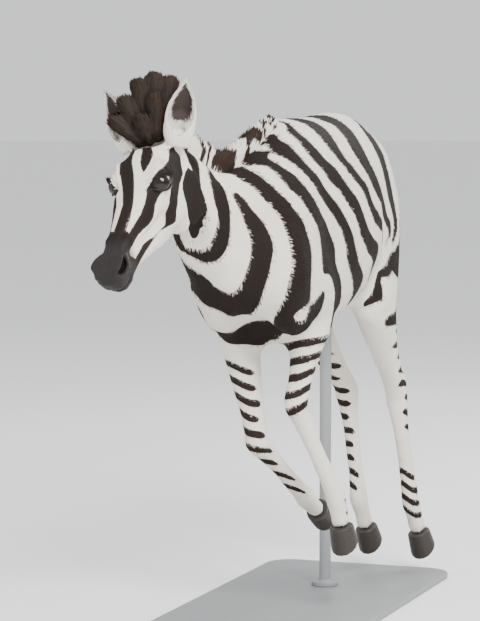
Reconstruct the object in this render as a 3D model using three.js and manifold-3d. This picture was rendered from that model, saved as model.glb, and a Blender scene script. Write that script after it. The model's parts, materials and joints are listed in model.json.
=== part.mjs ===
// A plains zebra foal in mid-leap, as a still, life-size display model on a plain stand.
// Millimetres. +X points where the trunk faces, +Y is the foal's left and +Z is up.
// The origin is the centre of the stand's underside.
import * as THREE from "three";
import { mergeVertices } from "three/addons/utils/BufferGeometryUtils.js";
import Module from "manifold-3d";

const wasm = await Module();
wasm.setup();

const V = (x, y, z) => new THREE.Vector3(x, y, z);
const Y = V(0, 1, 0);
const lerp = (a, b, share) => a.clone().lerp(b, share);
const move = (p, direction, length) => p.clone().addScaledVector(direction, length);
const towards = (a, b) => b.clone().sub(a).normalize();
const bothSides = (make) => [1, -1].map(make);

// ---------------------------------------------------------------- driving dimensions
const gap = 0.4; // clear space left by every cut between two neighbours
const slotGap = 2.4; // clear space round a piece that sits in a slot of its neighbour
const stand = { length: 900, width: 440, thick: 12, corner: 60, edge: 3 };
const rod = { x: -160, y: 0, radius: 13, top: 690, collar: 30, collarHeight: 10 };
const headPitch = THREE.MathUtils.degToRad(42); // how far the face points down
const headTurn = THREE.MathUtils.degToRad(-3); // how far the head looks to the foal's right
const headRoll = THREE.MathUtils.degToRad(8); // how far the head tips over to the right
const hoof = { toe: 60, heel: 32, top: 26, foot: 30 }; // wall heights and half widths
const eye = { radius: 23, along: 118, out: 12, side: 43 };
const ear = { length: 142, half: 35, depth: 23, wall: 6, splay: 0.42, open: 0.2 };
const crest = { half: 13, root: 16, low: 14, rise: 27 }; // the mane's half thickness, depth and heights

// ---------------------------------------------------------------- landmarks of the pose
const headCentre = V(556, -112, 1017); // middle of the skull below the poll
const foreLegs = {
  left: { elbow: V(112, 66, 690), knee: V(235, 64, 468), fetlock: V(150, 126, 262), toe: V(122, 140, 143) },
  right: { elbow: V(200, -86, 660), knee: V(232, -22, 384), fetlock: V(56, 30, 238), toe: V(-60, 34, 182) },
};
const hindLegs = {
  left: {
    stifle: V(-205, 92, 660),
    hock: V(-408, 90, 424),
    fetlock: V(-402, 130, 168),
    toe: V(-440, 152, 45),
  },
  right: {
    stifle: V(-215, -84, 655),
    hock: V(-430, -36, 420),
    fetlock: V(-424, -4, 166),
    toe: V(-466, 16, 45),
  },
};

// ---------------------------------------------------------------- rounded forms, as distance functions
// Every form is a function of a point, and carries a sphere that holds it.
const form = (distance, centre, radius) => Object.assign(distance, { centre, radius });

// The lesser of two distances, with the crease between them rounded over a width.
function blend(a, b, width) {
  const h = Math.max(width - Math.abs(a - b), 0) / width;
  return Math.min(a, b) - (h * h * width) / 4;
}

function join(width, ...forms) {
  const centre = forms.reduce((sum, f) => sum.add(f.centre), V(0, 0, 0)).divideScalar(forms.length);
  const radius = Math.max(...forms.map((f) => f.radius + f.centre.distanceTo(centre)));
  const beyond = (p, f, d) => p.distanceTo(f.centre) - f.radius > d + width;
  const distance = (p) => forms.reduce((d, f) => (beyond(p, f, d) ? d : blend(d, f(p), width)), Infinity);
  return form(distance, centre, radius);
}

const grown = (f, by) => form((p) => f(p) - by, f.centre, f.radius + by);

// About the distance from a point at (u, v, w) to a superellipsoid with half sizes r.
function rounded(u, v, w, [ru, rv, rw], power) {
  const sum = Math.abs(u / ru) ** power + Math.abs(v / rv) ** power + Math.abs(w / rw) ** power;
  const share = sum ** (1 / power);
  return share < 1e-6 ? -Math.min(ru, rv, rw) : Math.hypot(u, v, w) * (1 - 1 / share);
}

// An ellipsoid with its own axes.
function ball(at, sizes, [ex, ey, ez] = [V(1, 0, 0), Y, V(0, 0, 1)], power = 2) {
  const q = V();
  const distance = (p) => {
    q.subVectors(p, at);
    return rounded(q.dot(ex), q.dot(ey), q.dot(ez), sizes, power);
  };
  return form(distance, at, Math.max(...sizes));
}

// A form swept along a smooth line of stations: [point, half width, reach above the line, reach below it].
function sweep(stations, { side = Y, power = 2, steps = 4, cap = 0.8 } = {}) {
  const line = new THREE.CatmullRomCurve3(stations.map((s) => s[0]));
  const girth = new THREE.CatmullRomCurve3(stations.map((s) => V(s[1], s[2], s[3])));
  const count = (stations.length - 1) * steps;
  const rings = Array.from({ length: count + 1 }, (_, i) => {
    const along = line.getTangent(i / count);
    const across = move(side, along, -side.dot(along)).normalize();
    const up = V().crossVectors(along, across);
    return { at: line.getPoint(i / count), along, across, up, girth: girth.getPoint(i / count) };
  });
  const centre = line.getPoint(0.5);
  const widest = (r) => Math.max(r.girth.x, r.girth.y, r.girth.z);
  const radius = Math.max(...rings.map((r) => r.at.distanceTo(centre) + widest(r)));
  const q = V();
  const spot = V();
  const axis = V();
  const reach = V();
  const distance = (p) => {
    let nearest = Infinity;
    for (let i = 0; i < count; i++) {
      const [a, b] = [rings[i], rings[i + 1]];
      spot.subVectors(b.at, a.at);
      const share = THREE.MathUtils.clamp(q.subVectors(p, a.at).dot(spot) / spot.lengthSq(), 0, 1);
      q.subVectors(p, spot.copy(a.at).lerp(b.at, share));
      reach.copy(a.girth).lerp(b.girth, share);
      if (q.length() - Math.max(reach.x, reach.y, reach.z) > nearest) continue;
      const u = q.dot(axis.copy(a.across).lerp(b.across, share));
      const v = q.dot(axis.copy(a.up).lerp(b.up, share));
      const w = q.dot(axis.copy(a.along).lerp(b.along, share));
      const high = v > 0 ? reach.y : reach.z;
      nearest = Math.min(nearest, rounded(u, v, w, [reach.x, high, cap * Math.min(reach.x, high)], power));
    }
    return nearest;
  };
  return form(distance, centre, radius);
}

// ---------------------------------------------------------------- head
const heading = V(Math.cos(headTurn), Math.sin(headTurn), 0);
const faceAxis = heading.clone().multiplyScalar(Math.cos(headPitch)).add(V(0, 0, -Math.sin(headPitch)));
const faceLeft = V(-heading.y, heading.x, 0).applyAxisAngle(faceAxis, headRoll);
const faceOut = V().crossVectors(faceAxis, faceLeft); // out of the forehead
const headAxes = [faceAxis, faceLeft, faceOut];
// A point on the head: down the face from the poll, out to its left, and out of the forehead.
const onHead = (along, left, out) =>
  move(move(move(headCentre, faceAxis, along), faceLeft, left), faceOut, out);
const eyeCentre = (s) => onHead(eye.along, s * eye.side, eye.out);
const faceSweep = (rows, options) => {
  const stations = rows.map(([along, left, out, ...girth]) => [onHead(along, left, out), ...girth]);
  return sweep(stations, { side: faceLeft, ...options });
};
const faceBall = (along, left, out, sizes) => ball(onHead(along, left, out), sizes, headAxes);

function headForm() {
  const skull = faceSweep(
    [
      [14, 0, -6, 38, 36, 40],
      [48, 0, 0, 50, 46, 50],
      [85, 0, 0, 55, 52, 56],
      [122, 0, -1, 54, 48, 55],
      [162, 0, -5, 45, 40, 48],
      [205, 0, -9, 35, 35, 42],
      [250, 0, -13, 29, 31, 36],
      [295, 0, -17, 29, 29, 34],
      [328, 0, -21, 31, 27, 32],
    ],
    { power: 2.2 },
  );
  const jaw = faceSweep(
    [
      [62, 0, -60, 38, 30, 44],
      [98, 0, -73, 41, 34, 55],
      [140, 0, -71, 37, 32, 53],
      [192, 0, -61, 29, 26, 43],
      [245, 0, -51, 24, 22, 31],
      [296, 0, -48, 23, 20, 21],
      [328, 0, -48, 25, 18, 18],
    ],
    { power: 2.2 },
  );
  const sides = bothSides((s) => [
    faceBall(98, s * 33, -58, [60, 21, 50]), // cheek muscle
    faceBall(108, s * 47, 30, [34, 17, 14]), // brow
    faceBall(70, s * 34, 18, [36, 16, 24]), // temple
    faceSweep([
      [118, s * 48, -12, 8, 12, 12],
      [160, s * 41, -16, 7, 10, 11],
      [205, s * 31, -20, 5, 8, 8],
    ]), // cheekbone
    faceBall(328, s * 24, -8, [27, 16, 20]), // nostril
  ]).flat();
  const lips = [faceBall(346, 0, -26, [18, 30, 22]), faceBall(322, 0, -58, [25, 23, 13])];
  return join(14, join(20, skull, jaw), ...sides, ...lips);
}

// ---------------------------------------------------------------- neck and trunk
const neck = sweep(
  [
    [V(190, 0, 862), 80, 176, 190],
    [V(290, -33, 868), 86, 132, 165],
    [V(382, -65, 874), 79, 100, 146],
    [V(462, -77, 908), 60, 86, 116],
    [V(524, -92, 950), 52, 74, 92],
    [V(560, -108, 990), 46, 56, 60],
  ],
  { power: 2.1 },
);

// The trunk's sections: x, top line, bottom line, half width, and the level at which the section is widest.
const section = (x, top, bottom, wide, middle = 850) =>
  [V(x, 0, middle), wide, top - middle, middle - bottom];
const trunk = sweep(
  [
    section(-425, 972, 780, 56, 880),
    section(-385, 1026, 760, 80, 870),
    section(-320, 1058, 722, 96, 860),
    section(-250, 1078, 684, 112),
    section(-165, 1080, 643, 138),
    section(-70, 1074, 614, 151),
    section(30, 1070, 600, 148),
    section(120, 1074, 594, 132),
    section(200, 1064, 590, 114),
    section(275, 1005, 594, 106, 840),
    section(335, 935, 622, 94, 800),
    section(374, 870, 682, 64, 780),
  ],
  { power: 2.15, cap: 0.5 },
);

// The muscles that carry one foreleg, on side s.
const shoulderForm = (s, elbow) =>
  join(
    30,
    sweep([
      [V(150, s * 38, 990), 28, 50, 50],
      [V(235, s * 78, 885), 37, 68, 64],
      [V(338, s * 88, 752), 41, 50, 48],
    ]), // shoulder blade
    ball(V(205, s * 86, 745), [84, 40, 80]),
    sweep([
      [V(335, s * 86, 745), 42, 48, 44],
      [elbow, 46, 64, 62],
    ]), // upper arm
    ball(V(285, s * 76, 678), [78, 48, 62]),
    ball(V(352, s * 70, 752), [54, 60, 100]), // point of the shoulder
  );

// The muscles that carry one hind leg, on side s.
const haunchForm = (s, { stifle, hock }) =>
  join(
    36,
    ball(V(-280, s * 48, 950), [118, 54, 82]),
    ball(V(-312, s * 66, 840), [112, 48, 140]),
    ball(V(-398, s * 46, 860), [46, 42, 100]),
    sweep([
      [V(-396, s * 50, 830), 40, 44, 44],
      [V(-350, s * 74, 700), 38, 48, 44],
      [lerp(stifle, hock, 0.25), 34, 44, 46],
    ]), // back of the thigh
    sweep([
      [V(-290, s * 74, 810), 44, 96, 88],
      [stifle, 42, 62, 70],
    ]), // front of the thigh
  );

// ---------------------------------------------------------------- legs
// Stations down a leg: [joint above, joint below, share of the way, half width, front, back].
const chain = (rows) => rows.map(([a, b, share, ...girth]) => [lerp(a, b, share), ...girth]);
// Where the pastern ends and the hoof starts, on the line from the fetlock to the toe.
const coronetOf = ({ fetlock, toe }) => move(toe, towards(fetlock, toe), -hoof.toe);
const foot = ({ fetlock }, coronet) => [
  [fetlock, coronet, 0, 26, 24, 29],
  [fetlock, coronet, 0.5, 21.5, 20.5, 22],
  [fetlock, coronet, 1.05, 25.5, 25, 26],
];

function foreLegForm(leg) {
  const { elbow, knee, fetlock } = leg;
  return sweep(
    chain([
      [elbow, knee, 0, 45, 62, 60],
      [elbow, knee, 0.25, 43, 50, 49],
      [elbow, knee, 0.55, 35, 38, 39],
      [elbow, knee, 0.84, 28, 28, 28],
      [elbow, knee, 1, 32, 32, 27],
      [knee, fetlock, 0.14, 26, 24, 27],
      [knee, fetlock, 0.45, 20.5, 19.5, 25],
      [knee, fetlock, 0.8, 21, 20, 26],
      ...foot(leg, coronetOf(leg)),
    ]),
    { cap: 0.6 },
  );
}

function hindLegForm(leg) {
  const { stifle, hock, fetlock } = leg;
  const heel = hock.clone().add(V(-30, 0, 24)); // point of the hock
  return join(
    14,
    sweep(
      chain([
        [stifle, hock, 0, 46, 64, 76],
        [stifle, hock, 0.28, 41, 53, 58],
        [stifle, hock, 0.6, 34, 37, 41],
        [stifle, hock, 0.86, 29, 28, 32],
        [stifle, hock, 1, 33, 32, 31],
        [hock, fetlock, 0.14, 26, 24, 28],
        [hock, fetlock, 0.45, 20.5, 20, 25],
        [hock, fetlock, 0.8, 21, 20, 26],
        ...foot(leg, coronetOf(leg)),
      ]),
      { cap: 0.6 },
    ),
    sweep([[lerp(stifle, heel, 0.7), 13, 15, 15], [heel, 18, 17, 16]]),
  );
}

const tail = sweep(
  [
    [V(-405, 0, 978), 24, 26, 26],
    [V(-462, 2, 940), 23, 23, 23],
    [V(-494, 8, 872), 17, 17, 17],
    [V(-503, 18, 790), 15, 15, 15],
    [V(-509, 30, 705), 21, 22, 22],
    [V(-514, 40, 620), 24, 25, 25],
    [V(-518, 48, 540), 14, 14, 14],
    [V(-520, 50, 508), 6, 6, 6],
  ],
);

// ---------------------------------------------------------------- the whole body
const head = headForm();
const shoulders = [shoulderForm(1, foreLegs.left.elbow), shoulderForm(-1, foreLegs.right.elbow)];
const haunches = [haunchForm(1, hindLegs.left), haunchForm(-1, hindLegs.right)];
const breast = ball(V(360, 0, 738), [48, 62, 80]);
const core = join(24, join(40, trunk, breast), ...shoulders, ...haunches);
const legs = {
  fore: { left: foreLegForm(foreLegs.left), right: foreLegForm(foreLegs.right) },
  hind: { left: hindLegForm(hindLegs.left), right: hindLegForm(hindLegs.right) },
};
const body = join(26, join(40, core, neck), ...Object.values(legs.fore), ...Object.values(legs.hind), tail);
const front = join(16, join(40, core, neck), head);

// ---------------------------------------------------------------- hair that stands up
// The top of a form above a place, found by halving.
function topOf(f, x, y) {
  let [inside, outside] = [850, 1150];
  for (let turn = 0; turn < 16; turn++) {
    const middle = (inside + outside) / 2;
    if (f(V(x, y, middle)) < 0) inside = middle;
    else outside = middle;
  }
  return V(x, y, inside);
}
// The mane, from the withers to the poll.
const mane = sweep(
  [0, 0.17, 0.34, 0.51, 0.68, 0.85, 1].map((share) => {
    const root = topOf(front, THREE.MathUtils.lerp(212, 550, share), -106 * share ** 1.15);
    const height = crest.low + crest.rise * Math.sin((Math.PI / 2) * share) ** 1.2;
    return [root, crest.half, height, crest.root];
  }),
  { power: 2.4, cap: 1 },
);
// The tuft between the ears: locks that fan out from the poll, each [root, tip, half width] with the
// root and the tip as [along, left, out] on the head.
const tuft = join(
  8,
  ...[
    [[4, 0, 30], [-72, 8, 112], 32],
    [[10, 8, 30], [-74, 36, 84], 26],
    [[14, -8, 34], [-48, -34, 116], 29],
    [[24, -10, 36], [-16, -50, 102], 27],
    [[30, -12, 40], [12, -52, 80], 24],
    [[32, 4, 40], [18, 2, 76], 24],
    [[20, 4, 34], [-18, 24, 100], 26],
  ].map(([root, tip, half]) => {
    const low = [onHead(...root), half * 0.7, half * 0.7, half * 0.7];
    const high = [onHead(...tip), half, half * 0.8, half * 0.8];
    return sweep([low, high], { side: faceLeft });
  }),
);

// ---------------------------------------------------------------- from forms to solids
// A closed geometry as a solid that can be joined and cut.
function solid(geometry, matrix) {
  const bare = geometry.index ? geometry.toNonIndexed() : geometry.clone();
  for (const name of Object.keys(bare.attributes)) if (name !== "position") bare.deleteAttribute(name);
  if (matrix) bare.applyMatrix4(matrix);
  const merged = mergeVertices(bare, 1e-3);
  const triVerts = new Uint32Array(merged.index.array);
  const vertProperties = merged.attributes.position.array;
  return new wasm.Manifold(new wasm.Mesh({ numProp: 3, vertProperties, triVerts }));
}

// The slope of a form at a point.
function slopeOf(f, point, here) {
  const step = 0.5;
  const ahead = [V(step, 0, 0), V(0, step, 0), V(0, 0, step)].map((d) => (f(d.add(point)) - here) / step);
  return V(...ahead);
}

// The way from a point to the form's skin.
function wayToSkin(f, point) {
  const settled = point.clone();
  for (let turn = 0; turn < 3; turn++) {
    const here = f(settled);
    const slope = slopeOf(f, settled, here);
    settled.addScaledVector(slope, -here / Math.max(slope.lengthSq(), 0.25));
  }
  return settled.sub(point);
}

const cubeCorners = Array.from({ length: 8 }, (_, c) => [c & 1, (c >> 1) & 1, (c >> 2) & 1]);
const cubeEdges = [];
for (let a = 0; a < 8; a++) for (const bit of [1, 2, 4]) if (!(a & bit)) cubeEdges.push([a, a | bit]);

// A closed surface over the cells of a box that a form's skin crosses. The box runs from one point to
// another and reaches to each side of that line. The form is cut off flat just inside the box.
function net(f, { from, to, reach, cell, side = Y }) {
  const along = towards(from, to);
  const across = move(side, along, -side.dot(along)).normalize();
  const axes = [along, across, V().crossVectors(along, across)];
  const corner = move(move(from, axes[1], -reach[0]), axes[2], -reach[1]);
  const lengths = [from.distanceTo(to), 2 * reach[0], 2 * reach[1]];
  const n = lengths.map((length, axis) => Math.ceil(length / cell[axis]) + 3);
  const place = (...at) =>
    axes.reduce((p, axis, a) => p.addScaledVector(axis, (at[a] - 1) * cell[a]), corner.clone());
  const id = (i, j, k) => (i * n[1] + j) * n[2] + k;
  const each = (visit) => {
    for (let i = 0; i < n[0] - 1; i++)
      for (let j = 0; j < n[1] - 1; j++) for (let k = 0; k < n[2] - 1; k++) visit(i, j, k);
  };
  const value = new Float32Array(n[0] * n[1] * n[2]).fill(1);
  each((i, j, k) => {
    if (i && j && k) value[id(i, j, k)] = f(place(i, j, k)) || 1e-6;
  });
  const positions = [];
  const vertex = new Int32Array(value.length).fill(-1);
  each((i, j, k) => {
    const values = cubeCorners.map(([a, b, c]) => value[id(i + a, j + b, k + c)]);
    const crossed = cubeEdges.filter(([a, b]) => values[a] < 0 !== values[b] < 0);
    if (!crossed.length) return;
    const spot = [0, 1, 2].map((axis) => {
      const sum = crossed.reduce((total, [a, b]) => {
        const share = values[a] / (values[a] - values[b]);
        return total + THREE.MathUtils.lerp(cubeCorners[a][axis], cubeCorners[b][axis], share);
      }, 0);
      return sum / crossed.length;
    });
    const inner = i && j && k && i < n[0] - 2 && j < n[1] - 2 && k < n[2] - 2;
    const point = place(i + spot[0], j + spot[1], k + spot[2]);
    const way = inner ? wayToSkin(f, point) : V();
    axes.forEach((axis, a) => {
      const share = THREE.MathUtils.clamp(way.dot(axis) / cell[a], -spot[a], 1 - spot[a]);
      point.addScaledVector(axis, share * cell[a]); // it stays in its own cell
    });
    vertex[id(i, j, k)] = positions.length / 3;
    positions.push(...point.toArray());
  });
  // Where the edge from a grid point to the next one crosses the skin, the four cells round it make a face.
  const faces = [];
  each((...at) => {
    const inside = value[id(...at)] < 0;
    for (let axis = 0; axis < 3; axis++) {
      const [second, third] = [(axis + 1) % 3, (axis + 2) % 3];
      const ahead = at.with(axis, at[axis] + 1);
      if (!at[second] || !at[third] || inside === value[id(...ahead)] < 0) continue;
      const around = [[-1, -1], [0, -1], [0, 0], [-1, 0]];
      const [a, b, c, d] = around.map(([u, w]) => {
        const cellAt = at.with(second, at[second] + u).with(third, at[third] + w);
        return vertex[id(...cellAt)];
      });
      faces.push(...(inside ? [a, b, c, a, c, d] : [a, c, b, a, d, c]));
    }
  });
  const geometry = new THREE.BufferGeometry();
  geometry.setAttribute("position", new THREE.Float32BufferAttribute(positions, 3));
  geometry.setIndex(faces);
  return solid(geometry);
}

// Everything behind a plane, on the side that its normal points away from, with half a gap left clear.
function behind(point, normal) {
  const size = 3000;
  const away = normal.clone().normalize();
  const turn = new THREE.Quaternion().setFromUnitVectors(V(0, 0, 1), away);
  const place = new THREE.Matrix4().compose(move(point, away, -size / 2 - gap / 2), turn, V(1, 1, 1));
  return solid(new THREE.BoxGeometry(size, size, size), place);
}

// A closed surface through rings of points, each counter-clockwise as seen from beyond the last ring.
function loft(rings) {
  const around = rings[0].length;
  const middle = (ring) => ring.reduce((sum, p) => sum.add(p), V(0, 0, 0)).divideScalar(around);
  const points = [...rings.flat(), middle(rings[0]), middle(rings.at(-1))];
  const [first, last] = [points.length - 2, points.length - 1];
  const faces = [];
  for (let i = 0; i < around; i++) {
    const next = (i + 1) % around;
    const end = (rings.length - 1) * around;
    faces.push(first, next, i, last, end + i, end + next);
    for (let row = 0; row < end; row += around)
      faces.push(row + i, row + next, row + around + next, row + i, row + around + next, row + around + i);
  }
  const geometry = new THREE.BufferGeometry().setFromPoints(points);
  geometry.setIndex(faces);
  return solid(geometry);
}
const keep = (shape, ...tools) => tools.reduce((left, tool) => left.intersect(tool), shape);
const cut = (shape, ...tools) => tools.reduce((left, tool) => left.subtract(tool), shape);

// A block from one corner to the other, grown by a margin.
function block(low, high, margin = 0) {
  const size = high.clone().sub(low).addScalar(2 * margin);
  const place = new THREE.Matrix4().setPosition(lerp(low, high, 0.5));
  return solid(new THREE.BoxGeometry(...size.toArray()), place);
}
const sphere = (radius, at, around) =>
  solid(new THREE.SphereGeometry(radius, around, around * 0.6), new THREE.Matrix4().setPosition(at));
// An upright round bar that stands on a level.
const bar = (radius, low, high, x, y, around = 14) =>
  solid(
    new THREE.CylinderGeometry(radius, radius, high - low, around).rotateX(Math.PI / 2),
    new THREE.Matrix4().setPosition(x, y, (low + high) / 2),
  );

// ---------------------------------------------------------------- where the body is parted
const neckBase = { at: V(300, -20, 900), normal: V(0.82, -0.17, 0.55) };
const headBase = { at: V(520, -96, 972), normal: V(0.93, -0.2, -0.3) };
const elbowLevel = 650;
const thighLevel = 745;
const bellyLevel = 580; // the legs have all the space below this
const midHalf = 16; // above that, the legs keep this far from the middle
const far = 700;

// The space that belongs to a leg on side s, from one x to another and up to a level.
function legSpace(s, low, high, level, margin) {
  const [right, left] = s > 0 ? [midHalf, far] : [-far, -midHalf];
  const beside = block(V(low, right, bellyLevel - 20), V(high, left, level), margin);
  return beside.add(block(V(-far, -far, -50), V(far, far, bellyLevel), margin));
}
const foreSpace = (s, margin = 0) => legSpace(s, 20, far, elbowLevel, margin);
const hindSpace = (s, margin = 0) => legSpace(s, -far, -130, thighLevel, margin);
function tailSpace(margin) {
  const hanging = block(V(-far, -60, 300), V(-466, 130, 1100), margin);
  return hanging.add(block(V(-far, -32, 905), V(-432, 34, 1000), margin)); // the dock
}

// ---------------------------------------------------------------- the pieces
const paint = {
  coat: new THREE.MeshStandardMaterial({ color: "#cfc8bb", roughness: 0.85, metalness: 0 }),
  mane: new THREE.MeshStandardMaterial({ color: "#3a332d", roughness: 0.9, metalness: 0 }),
  hoof: new THREE.MeshStandardMaterial({ color: "#3b3733", roughness: 0.5, metalness: 0 }),
  eye: new THREE.MeshStandardMaterial({ color: "#15100c", roughness: 0.05, metalness: 0 }),
  stand: new THREE.MeshStandardMaterial({ color: "#8d9094", roughness: 0.4, metalness: 0.7 }),
};
const model = new THREE.Group();

function add(name, shape, material) {
  const mesh = shape.getMesh();
  const positions = new Float32Array(mesh.vertProperties);
  const geometry = new THREE.BufferGeometry();
  geometry.setAttribute("position", new THREE.BufferAttribute(positions, mesh.numProp));
  geometry.setIndex(new THREE.BufferAttribute(mesh.triVerts, 1));
  geometry.computeVertexNormals();
  const made = new THREE.Mesh(geometry, material);
  made.name = name;
  model.add(made);
}

// Hair that sits in slots of the body
const maneBox = { from: V(180, 0, 1040), to: V(585, -112, 1040), reach: [45, 95], cell: [38, 15, 17] };
const tuftBox = {
  from: onHead(70, 0, 60),
  to: onHead(-110, 0, 60),
  reach: [85, 100],
  cell: [19, 19, 19],
  side: faceLeft,
};
const tuftSlot = net(grown(tuft, slotGap), tuftBox);
const maneSlot = net(grown(mane, slotGap), maneBox);
add("forelock", net(tuft, tuftBox), paint.mane);
add("mane", cut(net(mane, maneBox), tuftSlot), paint.mane);

// Trunk
const trunkBox = { from: V(-520, 0, 850), to: V(430, 0, 850), reach: [185, 275], cell: [57, 41, 43] };
const rodHole = bar(rod.radius + gap, 0, rod.top + gap, rod.x, rod.y);
const spaces = bothSides((s) => [foreSpace(s, gap / 2), hindSpace(s, gap / 2)]).flat();
const behindNeck = keep(net(body, trunkBox), behind(neckBase.at, neckBase.normal));
add("trunk", cut(behindNeck, ...spaces, tailSpace(gap / 2), rodHole, maneSlot), paint.coat);

// Neck
const neckBox = { from: V(200, 20, 860), to: V(600, -120, 985), reach: [120, 230], cell: [46, 38, 40] };
const neckFront = behind(neckBase.at, neckBase.normal.clone().negate());
const neckPiece = keep(net(front, neckBox), neckFront, behind(headBase.at, headBase.normal));
add("neck", cut(neckPiece, maneSlot, tuftSlot), paint.coat);

// Ears
function earShape(s, grow) {
  const up = move(move(faceOut, faceAxis, -0.72), faceLeft, s * ear.splay).normalize();
  const opening = move(heading, faceLeft, s * 0.45);
  opening.addScaledVector(up, -opening.dot(up)).normalize();
  const across = V().crossVectors(up, opening);
  const root = move(onHead(18, s * 54, 22), up, -8);
  const around = 12;
  const halfAt = (u) => Math.sin(Math.PI * (0.2 + 0.8 * u)) ** 0.6 * (1 - 0.12 * u);
  const ring = (level, inset) =>
    Array.from({ length: around }, (_, i) => {
      const angle = (2 * Math.PI * i) / around;
      const rim = THREE.MathUtils.lerp(ear.open, 1, ((1 - Math.cos(angle)) / 2) ** 0.8);
      const u = level * rim;
      const size = Math.max(halfAt(u) - inset / ear.half, 0.03);
      const spot = move(move(root, up, u * ear.length), opening, Math.cos(angle) * ear.depth * size);
      return spot.addScaledVector(across, Math.sin(angle) * ear.half * size);
    });
  const outer = [0, 0.35, 0.7, 0.96].map((level) => ring(level, -grow));
  const inner = [0.96, 0.5].map((level) => ring(level, ear.wall));
  return loft([...outer, ...inner]);
}

// Head
const headBox = {
  from: onHead(-60, 0, -30),
  to: onHead(385, 0, -30),
  reach: [85, 105],
  cell: [20.5, 16, 17],
  side: faceLeft,
};
const earSlots = bothSides((s) => earShape(s, slotGap));
add(
  "head",
  cut(
    keep(net(front, headBox), behind(headBase.at, headBase.normal.clone().negate())),
    ...bothSides((s) => sphere(eye.radius + gap, eyeCentre(s), 12)),
    ...earSlots,
    maneSlot,
    tuftSlot,
  ),
  paint.coat,
);
bothSides((s) => {
  const side = s > 0 ? "left" : "right";
  add(`eye_${side}`, sphere(eye.radius, eyeCentre(s), 12), paint.eye);
  add(`ear_${side}`, cut(earShape(s, 0), maneSlot, tuftSlot), paint.coat);
});

// Legs
function addLeg(kind, side, leg, top, joint, space, box) {
  const coronet = coronetOf(leg);
  const pastern = towards(leg.fetlock, leg.toe);
  const shin = towards(joint, leg.fetlock);
  const parting = move(joint, shin, 36);
  const upperBox = { from: top, to: move(joint, towards(top, joint), 80), ...box };
  const upper = net(join(26, core, legs[kind][side]), upperBox);
  add(`${kind}_${side}_upper`, keep(upper, space, behind(parting, shin)), paint.coat);
  const lowerBox = { from: joint, to: move(coronet, pastern, 30), reach: [75, 75], cell: [36, 17, 17] };
  const lower = keep(net(legs[kind][side], lowerBox), behind(parting, shin.clone().negate()));
  add(`${kind}_${side}_lower`, keep(lower, behind(coronet, pastern)), paint.coat);
  add(`hoof_${kind}_${side}`, hoofShape(coronet, pastern), paint.hoof);
}

// A hoof: a wall that widens to a slanting sole, longest at the toe.
function hoofShape(coronet, pastern) {
  const across = move(Y, pastern, -Y.dot(pastern)).normalize();
  const ahead = V().crossVectors(pastern, across);
  const around = 14;
  const swell = [1, 1.09, hoof.foot / hoof.top];
  const sections = swell.map((wide, level) =>
    Array.from({ length: around }, (_, i) => {
      const angle = (2 * Math.PI * i) / around;
      const depth = THREE.MathUtils.lerp(hoof.heel, hoof.toe, (1 + Math.cos(angle)) / 2);
      const spot = move(coronet, pastern, gap + (level / (swell.length - 1)) * (depth - gap));
      spot.addScaledVector(ahead, Math.cos(angle) * hoof.top * wide * 1.04);
      return spot.addScaledVector(across, -Math.sin(angle) * hoof.top * wide);
    }),
  );
  return loft(sections);
}

bothSides((s) => {
  const side = s > 0 ? "left" : "right";
  const [fore, hind] = [foreLegs[side], hindLegs[side]];
  const foreBox = { reach: [100, 184], cell: [40, 23, 25] };
  const hindBox = { reach: [94, 200], cell: [43, 27, 30] };
  addLeg("fore", side, fore, fore.elbow.clone().setZ(710), fore.knee, foreSpace(s, -gap / 2), foreBox);
  addLeg("hind", side, hind, V(-275, s * 75, 800), hind.hock, hindSpace(s, -gap / 2), hindBox);
});

// Tail
const switchTop = { at: V(-504, 20, 770), normal: V(0, 0, 1) };
const tailBox = { from: V(-470, 10, 1030), to: V(-522, 40, 490), reach: [66, 66], cell: [40, 15, 15] };
const tailPiece = keep(net(body, tailBox), tailSpace(-gap / 2));
add("tail", keep(tailPiece, behind(switchTop.at, switchTop.normal.clone().negate())), paint.coat);
add("tail_switch", keep(tailPiece, behind(switchTop.at, switchTop.normal)), paint.mane);

// ---------------------------------------------------------------- stand
const plate = new THREE.Shape();
const [halfLength, halfWidth] = [stand.length / 2, stand.width / 2];
for (const [x, y, turn] of [[1, 1, 0], [-1, 1, 1], [-1, -1, 2], [1, -1, 3]])
  plate.absarc(
    x * (halfLength - stand.corner - stand.edge),
    y * (halfWidth - stand.corner - stand.edge),
    stand.corner,
    (turn * Math.PI) / 2,
    ((turn + 1) * Math.PI) / 2,
  );
const slab = new THREE.ExtrudeGeometry(plate, {
  depth: stand.thick - 2 * stand.edge,
  bevelThickness: stand.edge,
  bevelSize: stand.edge,
  bevelSegments: 1,
  curveSegments: 4,
});
add("stand_base", solid(slab, new THREE.Matrix4().setPosition(0, 0, stand.edge)), paint.stand);
const collar = bar(rod.collar, stand.thick + gap, stand.thick + gap + rod.collarHeight, rod.x, rod.y);
add("stand_rod", bar(rod.radius, stand.thick + gap, rod.top, rod.x, rod.y).add(collar), paint.stand);

export default model;
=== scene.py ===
import json
import math
import bmesh
import bpy
import numpy as np
from mathutils import Matrix, Vector, kdtree
from mathutils.bvhtree import BVHTree

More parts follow.
